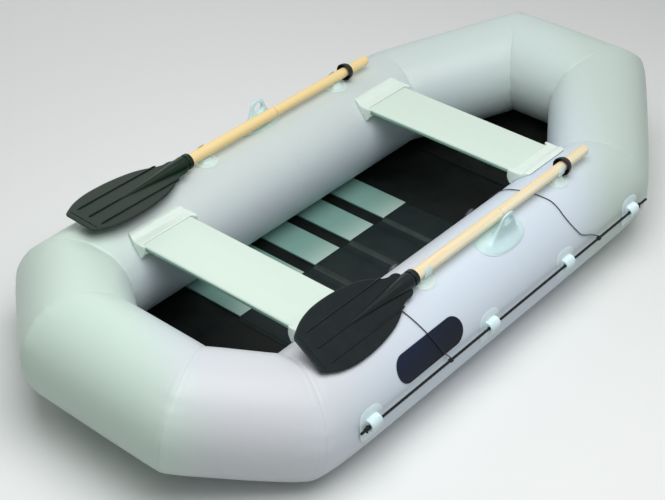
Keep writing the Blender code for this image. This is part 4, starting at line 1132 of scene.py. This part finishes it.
# each section: half length, reach inboard, reach outboard, freedom from the pad, share of the rise
clip_stem = ((0.0335, 0.0335, 0.0335, 0.00, 0.00), (0.0310, 0.0305, 0.0310, 0.06, 0.03),
             (0.0280, 0.0265, 0.0285, 0.22, 0.08), (0.0252, 0.0228, 0.0258, 0.50, 0.16),
             (0.0228, 0.0196, 0.0232, 0.78, 0.27), (0.0208, 0.0168, 0.0208, 0.94, 0.41),
             (0.0194, 0.0146, 0.0190, 1.00, 0.58), (0.0184, 0.0130, 0.0176, 1.00, 0.78),
             (0.0176, 0.0120, 0.0164, 1.00, 0.92))


def egg(half_long, half_wide, power, turn):
    """A point of an outline between a diamond (1), an ellipse (2) and a rounded box (over 2)."""
    along, around = math.cos(turn), math.sin(turn)
    reach = (abs(along) ** power + abs(around) ** power) ** (-1 / power)
    return half_long * reach * along, half_wide * reach * around


def pad_shell(side, station, angle, half_long, half_wide, power, levels, sides=64):
    """A pad moulded to the tube's curve, from its underside out to its edge and in over the top."""
    rings = []
    for share, height in levels:
        ring = []
        for step in range(sides):
            along, around = egg(half_long, half_wide, power, 2 * math.pi * step / sides)
            ring.append(over_tube(side, station + along * share,
                                  angle + around * share / tube_rim, height))
        rings.append(ring)
    return rings


def feathered(thickness, edge):
    """The levels of a pad: a thin edge, a slope and an even middle."""
    return [(0.03, 0.0), (0.60, 0.0), (0.985, 0.0), (1.0, skin_gap), (0.998, edge * 0.7),
            (0.985, edge), (0.94, edge + (thickness - edge) * 0.30),
            (0.86, edge + (thickness - edge) * 0.72), (0.76, thickness), (0.60, thickness),
            (0.40, thickness), (0.20, thickness), (0.03, thickness)]


def risen_rings(side, station, shift, foot, rise, thickness, sections, lean, powers, sides=72):
    """Sections of a moulded upright: the lowest lie over the pad and the upper ones stand free."""
    rings = []
    for half_long, inboard, outboard, free, level in sections:
        ring = []
        for step in range(sides):
            turn = 2 * math.pi * step / sides
            inner = math.sin(turn) > 0
            power = powers[0] - 0.4 * level if inner else powers[0] + powers[1] * min(1, level * 3)
            along, around = egg(half_long, inboard if inner else outboard, power, turn)
            y = foot.y - (around - lean * level) * side
            lying = tube_radius + math.sqrt(tube_rim ** 2 - (abs(y) - axis_offset) ** 2) + thickness
            ring.append(Vector((station + shift * (1 - free) + along, y,
                                lying + (foot.z + rise * level - lying) * free)))
        rings.append(ring)
    return rings


def hook_shell(side, station, bore, wall, width, first, last):
    """A hook bent round the shaft, rounded in section and thinner towards its two free ends."""
    rings = []
    steps = 40
    for step in range(steps + 1):
        share = step / steps
        angle = first + (last - first) * share
        to_end = min(share, 1 - share) * steps
        swell = math.sqrt(max(0.04, 1 - (1 - min(1.0, to_end / 4)) ** 2))
        thick = wall * (0.62 + 0.38 * min(1.0, to_end / 12)) * swell
        half = width / 2 * (0.60 + 0.40 * min(1.0, to_end / 15)) * (0.62 + 0.38 * swell)
        flare = hook_flare * max(0.0, 1 - share * steps / 5) ** 2
        middle = bore + wall / 2 + flare
        ring = []
        for corner in range(hook_sides):
            long_part, thick_part = egg(half, thick / 2, 3.2, 2 * math.pi * corner / hook_sides)
            reach = middle + thick_part
            ring.append(Vector((station + long_part,
                                side * (oar_offset + reach * math.cos(angle)),
                                oar_height + reach * math.sin(angle))))
        rings.append(ring)
    return rings


for side_name, side in (("port", 1), ("starboard", -1)):
    for end_name in ("aft", "fore"):
        node = f"{side_name}_{end_name}_oar_clip"
        station = clip_stations[side_name, end_name]
        bore = held_radii[end_name] + bore_ease
        foot = over_tube(side, station, clip_angle, 0.0)
        rise = oar_height - bore + stem_overlap - foot.z
        pad = pad_shell(side, station, clip_angle, clip_pad_half, clip_pad_half, 2.3,
                        feathered(clip_pad_thick, pad_edge)[:8], 72)
        stem = risen_rings(side, station, 0.0, foot, rise, clip_pad_thick, clip_stem, 0.0,
                           (2.3, 0.3))
        shells = [pad + stem,
                  hook_shell(side, station, bore, hook_wall, hook_width, hook_start, hook_end)]
        clip = link_piece(node + "_moulding", joined_shells(node + "_moulding", shells),
                          clip_plastic)
        clip.data.set_sharp_from_angle(angle=math.radians(60))
        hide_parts(node)
        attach(clip, "boat")

# Rowlocks
# A broad oval pad that sweeps up into an upright fin, moulded in one. The slot through the fin
# takes the pin or strap that carries a working oar. The fin's sections read as a clip's do.
rowlock_plastic = soft_plastic("rowlock_plastic", (0.60, 0.82, 0.85), (0.67, 0.87, 0.90), 0.30)
rowlock_station = along_side(0.5739)
rowlock_reach, rowlock_lean = 0.0500, 0.009
rowlock_top = 2 * tube_radius + 0.072
rowlock_pad_half = (0.100, 0.052)
rowlock_pad_shift, rowlock_pad_turn = -0.0145, math.radians(1.0)
rowlock_pad_thick, rowlock_pad_edge = 0.0036, 0.0012
slot_centre = rowlock_top - 0.0240
slot_half_long, slot_half_tall, slot_narrowing = 0.0195, 0.0160, 0.0030
slot_flare, slot_flare_start, slot_widest = 22, 0.0045, 1.12
fin_sections = ((0.0850, 0.0425, 0.0425, 0.00, 0.00), (0.0820, 0.0392, 0.0385, 0.03, 0.02),
                (0.0775, 0.0350, 0.0320, 0.10, 0.05), (0.0725, 0.0312, 0.0245, 0.24, 0.08),
                (0.0672, 0.0278, 0.0180, 0.44, 0.12), (0.0620, 0.0246, 0.0130, 0.64, 0.17),
                (0.0568, 0.0214, 0.0098, 0.82, 0.23), (0.0512, 0.0180, 0.0078, 0.94, 0.31),
                (0.0460, 0.0146, 0.0066, 1.0, 0.40), (0.0412, 0.0114, 0.0059, 1.0, 0.50),
                (0.0366, 0.0088, 0.0055, 1.0, 0.61), (0.0328, 0.0070, 0.0052, 1.0, 0.72),
                (0.0298, 0.0060, 0.0050, 1.0, 0.81), (0.0266, 0.0054, 0.0048, 1.0, 0.885),
                (0.0226, 0.0048, 0.0044, 1.0, 0.94), (0.0170, 0.0040, 0.0038, 1.0, 0.976),
                (0.0100, 0.0026, 0.0026, 1.0, 0.995))
slot_depths = (-0.05, -0.0085, -0.0055, 0.0, 0.0055, 0.0085, 0.05)
for side_name, side in (("port", 1), ("starboard", -1)):
    node = side_name + "_rowlock"
    pad_angle = math.acos(rowlock_reach / tube_rim)
    foot = over_tube(side, rowlock_station, pad_angle, 0.0)
    rise = rowlock_top - foot.z
    rings = pad_shell(side, rowlock_station + rowlock_pad_shift, pad_angle + rowlock_pad_turn,
                      *rowlock_pad_half, 2.3, feathered(rowlock_pad_thick, rowlock_pad_edge)[:8],
                      72)
    rings += risen_rings(side, rowlock_station, rowlock_pad_shift, foot, rise, rowlock_pad_thick,
                         fin_sections, rowlock_lean, (2.3, 0.9))
    fin = link_piece(node + "_fin", joined_shells(node + "_fin", [rings]), rowlock_plastic)
    slot_level = (slot_centre - foot.z) / rise
    slot_middle = Vector((rowlock_station, foot.y + rowlock_lean * slot_level * side,
                          slot_centre))
    cut_rings = []
    for depth in slot_depths:
        wider = min(slot_widest, 1 + slot_flare * max(0.0, abs(depth) - slot_flare_start))
        ring = []
        for step in range(40):
            turn = 2 * math.pi * step / 40
            run = (slot_half_long - slot_narrowing * math.sin(turn)) * math.cos(turn) * wider
            climb = slot_half_tall * math.sin(turn) * wider
            ring.append(slot_middle + Vector((run, depth + rowlock_lean * climb / rise * side,
                                              climb)))
        cut_rings.append(ring)
    cutter = link_piece(node + "_cutter", skinned(cut_rings, name=node + "_cutter"),
                        rowlock_plastic)
    slotting = fin.modifiers.new("slot", "BOOLEAN")
    slotting.object = cutter
    slotting.solver = "EXACT"
    slotting.operation = "DIFFERENCE"
    rowlock = settled(fin, node + "_moulding")
    cutter_mesh = cutter.data
    bpy.data.objects.remove(cutter, do_unlink=True)
    bpy.data.meshes.remove(cutter_mesh)
    rowlock.data.set_sharp_from_angle(angle=math.radians(38))
    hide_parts(node)
    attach(rowlock, "boat")

# Grab line holders
# Eight squarish pads with a ribbed bulb of a barrel, moulded in one and bonded along both side
# tubes. The line is threaded through the four to starboard; those to port wait for theirs.
holder_plastic = soft_plastic("holder_plastic", (0.70, 0.89, 0.93), (0.80, 0.95, 0.98), 0.28)
barrel_radius, barrel_stand, barrel_rib = 0.0205, 0.0050, 0.0010
barrel_ribs, barrel_sides, barrel_steps = 7, 40, 96
holder_pad_half, holder_pad_thick = 0.048, 0.0022
holder_count = 4
bore_steps = ((0.0006, 0.0066), (0.0022, 0.0054), (0.006, 0.0047))


def barrel_shell(side, station):
    """The barrel's skin outside, its two flat ends and the bore that the line runs in."""
    centre = over_tube(side, station, line_angle, barrel_stand)
    line_middle = over_tube(side, station, line_angle, line_height)
    half = barrel_length / 2
    profile = []
    for step in range(barrel_steps + 1):
        place = -1 + 2 * step / barrel_steps
        swell = 0.76 + 0.24 * math.sqrt(max(0.0, 1 - abs(place) ** 2.6))
        ridge = barrel_rib * (math.cos(barrel_ribs * math.pi * place) - 1) * min(
            1.0, 8 * (1 - abs(place)))
        profile.append((half * place, barrel_radius * swell + ridge, centre))
    profile += [(half - inset, radius, line_middle) for inset, radius in bore_steps]
    profile += [(inset - half, radius, line_middle) for inset, radius in reversed(bore_steps)]
    turns = [2 * math.pi * step / barrel_sides for step in range(barrel_sides)]
    return [[Vector((station + run, middle.y + radius * math.cos(turn),
                     middle.z + radius * math.sin(turn))) for turn in turns]
            for run, radius, middle in profile]


for side_name, side in (("port", 1), ("starboard", -1)):
    for index in range(1, holder_count + 1):
        node = f"{side_name}_line_holder_{index}"
        station = holder_stations[index - 1] - holder_lead
        pad_rings = pad_shell(side, station, line_angle - math.radians(2.0), holder_pad_half,
                              holder_pad_half, 2.8, feathered(holder_pad_thick, pad_edge))
        form = bmesh.new()
        form.from_mesh(joined_shells(node + "_pad", [pad_rings]))
        form.from_mesh(skinned(barrel_shell(side, station), closed_run=True, name=node))
        moulding_mesh = bpy.data.meshes.new(node + "_moulding")
        form.to_mesh(moulding_mesh)
        form.free()
        holder = link_piece(node + "_moulding", moulding_mesh, holder_plastic)
        holder.data.set_sharp_from_angle(angle=math.radians(50))
        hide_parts(node)
        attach(holder, "boat")

# Dark patch
# A plain plate of navy fabric with round ends, bonded flat to the starboard tube, with a narrow
# pressed rim.
patch_cloth = new_finish("patch_cloth", (0.005, 0.007, 0.012), 0.50, Specular_IOR_Level=0.15)
patch_cloud, patch_ramp = mottle(patch_cloth, (0.004, 0.005, 0.009), (0.006, 0.008, 0.015), 22)
gloss_drift(patch_cloth, patch_cloud, 0.36, 0.50)
# Painted light: the patch is painted bluer towards its upper aft part and stays near black below.
patch_painted_tint = tinted(patch_cloth, (patch_ramp, "Color"), (0.008, 0.016, 0.046),
                    fading(patch_cloth, (-0.25, 0.0, 1.0), 0.28, 0.46))
wire(patch_cloth, (*patch_painted_tint, patch_cloth.node_tree.nodes["Principled BSDF"], "Base Color"))
patch_where = add_node(patch_cloth, "TexCoord")
patch_warp = add_node(patch_cloth, "TexWave", {"Scale": 200, "Distortion": 0.4})
wire(patch_cloth, (patch_where, "Object", patch_warp, "Vector"))
relief(patch_cloth, patch_warp, "Fac", 0.2, 0.0002)
patch_length, patch_width = 0.283, 0.083
patch_angle = math.radians(28.0)
patch_station = along_side(0.2567)
patch_seat, patch_rim, patch_rim_side = 0.0002, 0.0012, 0.0009
patch_end_steps = 24
patch_levels = [(1.0, patch_seat), (1.0, patch_rim_side), (0.985, patch_rim), (0.955, patch_rim)]
patch_levels += [(shrink, crossed_cloth) for shrink in (0.945, 0.90, 0.70, 0.45, 0.20, 0.02)]
patch_rings = []
for shrink, height in patch_levels:
    ring = []
    rim_inset = patch_width / 2 * (1 - shrink)
    reach = patch_width / 2 - rim_inset
    straight = patch_length / 2 - patch_width / 2
    for end, first in ((1, -math.pi / 2), (-1, math.pi / 2)):
        for step in range(patch_end_steps + 1):
            turn = first + math.pi * step / patch_end_steps
            along = end * straight * min(1.0, shrink * 1.6) + reach * math.cos(turn)
            around = reach * math.sin(turn)
            ring.append(over_tube(-1, patch_station + along, patch_angle + around / tube_radius,
                                  height))
    patch_rings.append(ring)
name_patch = link_piece("plain_patch", skinned(patch_rings, name="plain_patch"), patch_cloth)
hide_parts("name_patch")
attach(name_patch, "boat")

# Air valves
# A valve body for each chamber on the hidden inboard face of the starboard tube, with a gripped
# cap that makes a quarter turn. Both are hard plastic with broken edges.
valve_plastic = new_finish("valve_plastic", (0.03, 0.035, 0.04), 0.38, Coat_Weight=0.1)
valve_cloud, _ = mottle(valve_plastic, (0.022, 0.026, 0.030), (0.045, 0.05, 0.055), 60)
gloss_drift(valve_plastic, valve_cloud, 0.32, 0.46)
cap_merge, valve_rounding, valve_rounding_steps, valve_edge_angle = 0.000005, 0.0006, 2, 30


def softened(node, name, material, width, segments, angle):
    """A moulded piece from a copy of its frame node: facets merged and its edges rounded."""
    form = bmesh.new()
    form.from_mesh(bpy.data.objects[node].data)
    bmesh.ops.remove_doubles(form, verts=form.verts, dist=cap_merge)
    bmesh.ops.dissolve_limit(form, angle_limit=math.radians(1.0), verts=form.verts,
                             edges=form.edges)
    bmesh.ops.recalc_face_normals(form, faces=form.faces)
    mesh = bpy.data.meshes.new(name)
    form.to_mesh(mesh)
    form.free()
    mesh.materials.clear()
    piece = link_piece(name, mesh, material)
    rounding = piece.modifiers.new("rounding", "BEVEL")
    rounding.width = width
    rounding.segments = segments
    rounding.limit_method = "ANGLE"
    rounding.angle_limit = math.radians(angle)
    rounding.harden_normals = False
    rounding.use_clamp_overlap = True
    piece = settled(piece, name)
    piece.data.shade_smooth()
    piece.data.set_sharp_from_angle(angle=math.radians(50))
    return piece


for end_name in ("aft", "fore"):
    for node, body in ((end_name + "_valve", "boat"), (end_name + "_valve_cap", end_name + "_cap")):
        fitting = softened(node, node + "_moulding", valve_plastic, valve_rounding,
                           valve_rounding_steps, valve_edge_angle)
        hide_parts(node)
        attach(fitting, body)

# Oar blades
# Each blade is one black moulding: a thin plate with shoulders, two long ribs and a middle one
# on both faces, a low bar by its tip, a spine that runs out to nothing, and a grooved collar.
collar_stations = {"port": along_side(0.3331), "starboard": along_side(0.3203)}
blade_rolls = {"port": math.radians(1.5), "starboard": math.radians(33.0)}
blade_length = 0.443
blade_curve = 0.002
blade_sides = 64
plate_start, plate_run, plate_steps = 0.030, 0.408, 88
plate_tip_stations = (0.4390, 0.4405, 0.4418, 0.4426, 0.4429)
plate_half_thick, plate_thinning, thinning_start, thinning_run = 0.0023, 0.25, 0.30, 0.125
tip_round_start, tip_round = 0.4380, 0.0050
rib_start, rib_end, middle_rib_start, rib_offset = 0.090, 0.404, 0.264, 0.050
rib_width, rib_height, rib_root, rib_sink = 0.0066, 0.0042, 0.0016, 0.0006
rib_steps, rib_sides, rib_fade = 44, 12, 22
bar_half, bar_distance, bar_width, bar_height = 0.056, 0.4220, 0.0034, 0.0012
collar_sides, collar_grips, collar_grip_depth = 48, 24, 0.0007
spine_start, spine_run, spine_steps = 0.040, 0.260, 44
blade_half_widths = ((0.030, 0.0180), (0.034, 0.0290), (0.042, 0.0365), (0.055, 0.0402),
                     (0.070, 0.0400), (0.086, 0.0440), (0.106, 0.0540), (0.130, 0.0665),
                     (0.161, 0.0780), (0.202, 0.0870), (0.248, 0.0930), (0.294, 0.0950),
                     (0.335, 0.0935), (0.368, 0.0880), (0.395, 0.0800), (0.415, 0.0705),
                     (0.430, 0.0625), (0.439, 0.0560), (0.443, 0.0470))


def between(table, value):
    """A value read from a table of pairs, on a smooth curve through them."""
    if value <= table[0][0]:
        return table[0][1]
    for index in range(len(table) - 1):
        (x0, y0), (x1, y1) = table[index], table[index + 1]
        if value <= x1:
            before = table[max(index - 1, 0)]
            after = table[min(index + 2, len(table) - 1)]
            slope0 = (y1 - before[1]) / (x1 - before[0])
            slope1 = (after[1] - y0) / (after[0] - x0)
            step = x1 - x0
            t = (value - x0) / step
            return ((2 * t ** 3 - 3 * t ** 2 + 1) * y0 + (t ** 3 - 2 * t ** 2 + t) * step * slope0
                    + (3 * t ** 2 - 2 * t ** 3) * y1 + (t ** 3 - t ** 2) * step * slope1)
    return table[-1][1]


def blade_rise(distance):
    """How far the blade curves up at a distance from its collar."""
    return blade_curve * (distance / blade_length) ** 2


def plate_shell():
    """The plate as rings across it: rounded at its edges and a little thinner towards the tip."""
    rings = []
    stations = [plate_start + plate_run * step / plate_steps for step in range(plate_steps)]
    stations += plate_tip_stations
    for distance in stations:
        half = between(blade_half_widths, distance)
        thinned = plate_thinning * max(0.0, distance - thinning_start) / thinning_run
        thick = plate_half_thick * (1 - thinned)
        if distance > tip_round_start:
            thick *= math.sqrt(max(0.02, 1 - ((distance - tip_round_start) / tip_round) ** 2))
        ring = []
        for step in range(blade_sides):
            turn = 2 * math.pi * step / blade_sides
            across = math.copysign(abs(math.cos(turn)) ** 0.55, math.cos(turn))
            deep = math.copysign(min(1.0, abs(math.sin(turn)) * 2.6) ** 0.8, math.sin(turn))
            ring.append(Vector((-distance, half * across, blade_rise(distance) + thick * deep)))
        rings.append(ring)
    return rings


def rib_shell(start, end, side_place, width, height, face, lengthwise=True):
    """A half-round rib that sinks into the plate at both ends."""
    rings = []
    for step in range(rib_steps + 1):
        share = step / rib_steps
        ends = min(1.0, rib_fade * share, rib_fade * (1 - share))
        swell = math.sin(math.pi / 2 * max(0.03, ends)) ** 0.7
        along = start + (end - start) * share
        distance, place = (along, side_place) if lengthwise else (side_place, along)
        base = blade_rise(distance) + face * rib_root
        ring = []
        for corner in range(rib_sides):
            turn = 2 * math.pi * corner / rib_sides
            offset = width / 2 * swell * math.cos(turn)
            lift = face * (height * swell + rib_sink) * max(-0.3, math.sin(turn))
            if lengthwise:
                ring.append(Vector((-distance, place + offset, base + lift)))
            else:
                ring.append(Vector((-distance - offset, place, base + lift)))
        rings.append(ring)
    return rings


def lathe_shell(profile, sides, grips=0, grip_depth=0.0, gripped=(0, 0), curved=False):
    """Rings turned about the shaft's line, or about the blade's curve; part of the profile can
    carry fine ridges."""
    rings = []
    for index, (distance, radius) in enumerate(profile):
        centre = blade_rise(-distance) if curved else 0.0
        ring = []
        for side in range(sides):
            turn = 2 * math.pi * side / sides
            ridge = 0.0
            if gripped[0] <= index < gripped[1]:
                ridge = grip_depth * (math.cos(grips * turn) - 1) / 2
            ring.append(Vector((distance, (radius + ridge) * math.sin(turn),
                                centre + (radius + ridge) * math.cos(turn))))
        rings.append(ring)
    return rings


def oar_place(side_name, station, roll=0.0):
    """Where an oar's own lengths start: a station on its line, turned about it."""
    side = 1 if side_name == "port" else -1
    return (Matrix.Translation((station, side * oar_offset, oar_height))
            @ Matrix.Rotation(roll, 4, "X"))


blade_plastic = new_finish("blade_plastic", (0.004, 0.008, 0.009), 0.30, Specular_IOR_Level=0.20)
blade_cloud, blade_ramp = mottle(blade_plastic, (0.002, 0.006, 0.007), (0.004, 0.010, 0.011),
                                 30)
# Painted light: the port blade is painted greener, a painted green reflection.
blade_painted_tint = tinted(blade_plastic, (blade_ramp, "Color"), (0.002, 0.014, 0.006),
                    fading(blade_plastic, (0.0, 1.0, 0.0), 0.2, 0.4))
wire(blade_plastic, (*blade_painted_tint, blade_plastic.node_tree.nodes["Principled BSDF"], "Base Color"))
gloss_drift(blade_plastic, blade_cloud, 0.26, 0.40)
blade_where = add_node(blade_plastic, "TexCoord")
blade_grain = add_node(blade_plastic, "TexNoise", {"Scale": 420, "Detail": 2})
wire(blade_plastic, (blade_where, "Object", blade_grain, "Vector"))
relief(blade_plastic, blade_grain, "Fac", 0.18, 0.0003)

spine_table = ((0.036, 0.0240), (0.060, 0.0226), (0.108, 0.0176), (0.150, 0.0138),
               (0.180, 0.0115), (0.246, 0.0068), (0.285, 0.0042), (0.300, 0.0024))
collar_profile = [(-0.0005, 0.0186), (0.0, 0.0205), (-0.0004, 0.0226), (-0.0016, 0.0242),
                  (-0.0036, 0.0250), (-0.0050, 0.0250), (-0.0090, 0.0250), (-0.0130, 0.0250),
                  (-0.0148, 0.0250), (-0.0166, 0.0243), (-0.0178, 0.0228), (-0.0180, 0.0214),
                  (-0.0226, 0.0212), (-0.0230, 0.0226), (-0.0240, 0.0240), (-0.0260, 0.0247),
                  (-0.0300, 0.0247), (-0.0340, 0.0243)]
collar_profile += [(-distance, between(spine_table, distance))
                   for distance in [spine_start + spine_run * step / spine_steps
                                    for step in range(spine_steps + 1)]]
for side_name in ("port", "starboard"):
    shells = [plate_shell(), lathe_shell(collar_profile, collar_sides, collar_grips,
                                         collar_grip_depth, gripped=(4, 9), curved=True)]
    for face in (1, -1):
        shells += [rib_shell(rib_start, rib_end, rib_offset, rib_width, rib_height, face),
                   rib_shell(rib_start, rib_end, -rib_offset, rib_width, rib_height, face),
                   rib_shell(middle_rib_start, rib_end, 0.0, rib_width, rib_height, face),
                   rib_shell(-bar_half, bar_half, bar_distance, bar_width, bar_height, face,
                             lengthwise=False)]
    placed = oar_place(side_name, collar_stations[side_name], blade_rolls[side_name])
    blade = link_piece(side_name + "_blade_moulding",
                       joined_shells(side_name + "_blade_moulding", shells, placed), blade_plastic)
    blade.data.set_sharp_from_angle(angle=math.radians(55))
    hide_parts(side_name + "_blade")
    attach(blade, side_name + "_oar")

# Oar shafts
# Turned and varnished softwood in two lengths. The lower one is glued into the blade's collar and
# bored at its shoulder. The thinner upper one plugs in there by a spigot and ends in a round grip.
shaft_wood = new_finish("varnished_pine", (0.78, 0.62, 0.38), 0.40, Coat_Weight=0.12,
                        Coat_Roughness=0.2, Specular_IOR_Level=0.3)
wood_where = add_node(shaft_wood, "TexCoord")
wood_stretch = add_node(shaft_wood, "Mapping", {"Scale": (1.0, 30, 30)})
wood_fibre = add_node(shaft_wood, "TexNoise", {"Scale": 5.5, "Detail": 6, "Roughness": 0.62,
                                               "Distortion": 0.5})
wood_rings = add_node(shaft_wood, "TexWave", {"Scale": 0.55, "Distortion": 5.5, "Detail": 2,
                                              "Detail Scale": 0.8}, bands_direction="Z")
wood_mix = add_node(shaft_wood, "Math", {1: 0.45}, operation="MULTIPLY")
wood_sum = add_node(shaft_wood, "Math", operation="ADD")
wood_ramp = add_node(shaft_wood, "ValToRGB")
wood_ramp.color_ramp.elements[0].position = 0.38
wood_ramp.color_ramp.elements[1].position = 0.95
wood_ramp.color_ramp.elements[0].color = (0.93, 0.72, 0.42, 1)
wood_ramp.color_ramp.elements[1].color = (1.0, 0.94, 0.72, 1)
wire(shaft_wood, (wood_where, "Object", wood_stretch, "Vector"),
     (wood_stretch, "Vector", wood_fibre, "Vector"),
     (wood_stretch, "Vector", wood_rings, "Vector"),
     (wood_rings, "Fac", wood_mix, 0), (wood_mix, "Value", wood_sum, 0),
     (wood_fibre, "Fac", wood_sum, 1), (wood_sum, "Value", wood_ramp, "Fac"))
# Painted light: the port shaft is painted warmer and more golden than the starboard one, for how
# light falls on it.
wood_painted_tint = tinted(shaft_wood, (wood_ramp, "Color"), (1.0, 0.76, 0.36),
                   fading(shaft_wood, (0.0, 1.0, 0.0), 0.0, 0.5))
wire(shaft_wood, (*wood_painted_tint, shaft_wood.node_tree.nodes["Principled BSDF"], "Base Color"))
relief(shaft_wood, wood_fibre, "Fac", 0.12, 0.0004)
joint_station = along_side(0.5942)
grip_station = along_side(0.9067)
lower_radius, upper_radius = held_radii["aft"], held_radii["fore"]
socket_depth, joint_gap = 0.0597, 0.0005
socket_radius, spigot_radius = 0.0115, 0.0110
socket_length, spigot_length = 0.1000, 0.0990
shaft_sides, lower_steps, upper_steps = 40, 20, 22
for side_name in ("port", "starboard"):
    foot = collar_stations[side_name] - socket_depth
    shoulder = joint_station - joint_gap
    low_profile = [(foot, 0.0120), (foot + 0.001, lower_radius - 0.0006)]
    low_profile += [(foot + 0.002 + (shoulder - 0.0150 - foot) * step / lower_steps, lower_radius)
                    for step in range(lower_steps + 1)]
    low_profile += [(shoulder - 0.0110, 0.0181), (shoulder - 0.0060, 0.0178),
                    (shoulder - 0.0034, 0.01735), (shoulder - 0.0022, 0.0164),
                    (shoulder - 0.0014, 0.0152), (shoulder - 0.0012, 0.0124),
                    (shoulder - 0.0018, 0.0116), (shoulder - socket_length / 2, socket_radius),
                    (shoulder - socket_length, socket_radius)]
    high_profile = [(shoulder - spigot_length, 0.0090), (shoulder - 0.0984, 0.0104),
                    (shoulder - 0.0970, spigot_radius),
                    (shoulder - socket_length / 2, spigot_radius),
                    (shoulder + 0.0010, spigot_radius), (shoulder + 0.0014, 0.0148),
                    (shoulder + 0.0030, 0.0160), (shoulder + 0.0050, upper_radius)]
    high_profile += [(shoulder + 0.008 + (grip_station - 0.016 - shoulder) * step / upper_steps,
                      upper_radius) for step in range(upper_steps + 1)]
    high_profile += [(grip_station - 0.0060, 0.01625), (grip_station - 0.0032, 0.0153),
                     (grip_station - 0.0012, 0.0136), (grip_station - 0.0002, 0.0110),
                     (grip_station, 0.0070)]
    for part, profile, body in (("lower_shaft", low_profile, "_oar"),
                                ("upper_shaft", high_profile, "_handle")):
        shaft_mesh = joined_shells(f"{side_name}_{part}_wood", [lathe_shell(profile, shaft_sides)],
                                   oar_place(side_name, 0.0))
        shaft = link_piece(f"{side_name}_{part}_wood", shaft_mesh, shaft_wood)
        shaft.data.set_sharp_from_angle(angle=math.radians(45))
        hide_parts(f"{side_name}_{part}")
        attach(shaft, side_name + body)

# Oar rings
# A black rubber cup ring pushed on each upper shaft, with its hollow towards the blade, so that
# water running up the shaft drips off.
ring_rubber = new_finish("ring_rubber", (0.006, 0.007, 0.008), 0.40, Specular_IOR_Level=0.25)
ring_cloud, _ = mottle(ring_rubber, (0.005, 0.006, 0.006), (0.011, 0.012, 0.013), 70)
gloss_drift(ring_rubber, ring_cloud, 0.40, 0.60)
starboard_ring_lead = 0.011
ring_starts = {"port": along_side(0.8266),
               "starboard": along_side(0.8072) + starboard_ring_lead}
ring_length, ring_bore = 0.026, 0.0168
for side_name in ("port", "starboard"):
    front = ring_starts[side_name]
    back = front + ring_length
    profile = [(back - 0.0004, ring_bore), (back, 0.0179), (back - 0.0002, 0.0199),
               (back - 0.0016, 0.0220), (back - 0.0040, 0.0242), (back - 0.0085, 0.0264),
               (back - 0.0140, 0.0280), (back - 0.0200, 0.0290), (front + 0.0030, 0.0295),
               (front + 0.0012, 0.0293), (front + 0.0002, 0.0285), (front, 0.0273),
               (front + 0.0004, 0.0262), (front + 0.0016, 0.0256), (front + 0.0080, 0.0247),
               (front + 0.0140, 0.0233), (front + 0.0180, 0.0214), (back - 0.0062, 0.0194),
               (back - 0.0062, ring_bore)]
    rings = lathe_shell(profile, collar_sides)
    placed = oar_place(side_name, 0.0)
    ring_mesh = skinned([[placed @ point for point in ring] for ring in rings],
                        closed_run=True, name=side_name + "_oar_ring_rubber")
    ring = link_piece(side_name + "_oar_ring_rubber", ring_mesh, ring_rubber)
    ring.data.set_sharp_from_angle(angle=math.radians(60))
    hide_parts(side_name + "_oar_ring")
    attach(ring, side_name + "_ring")
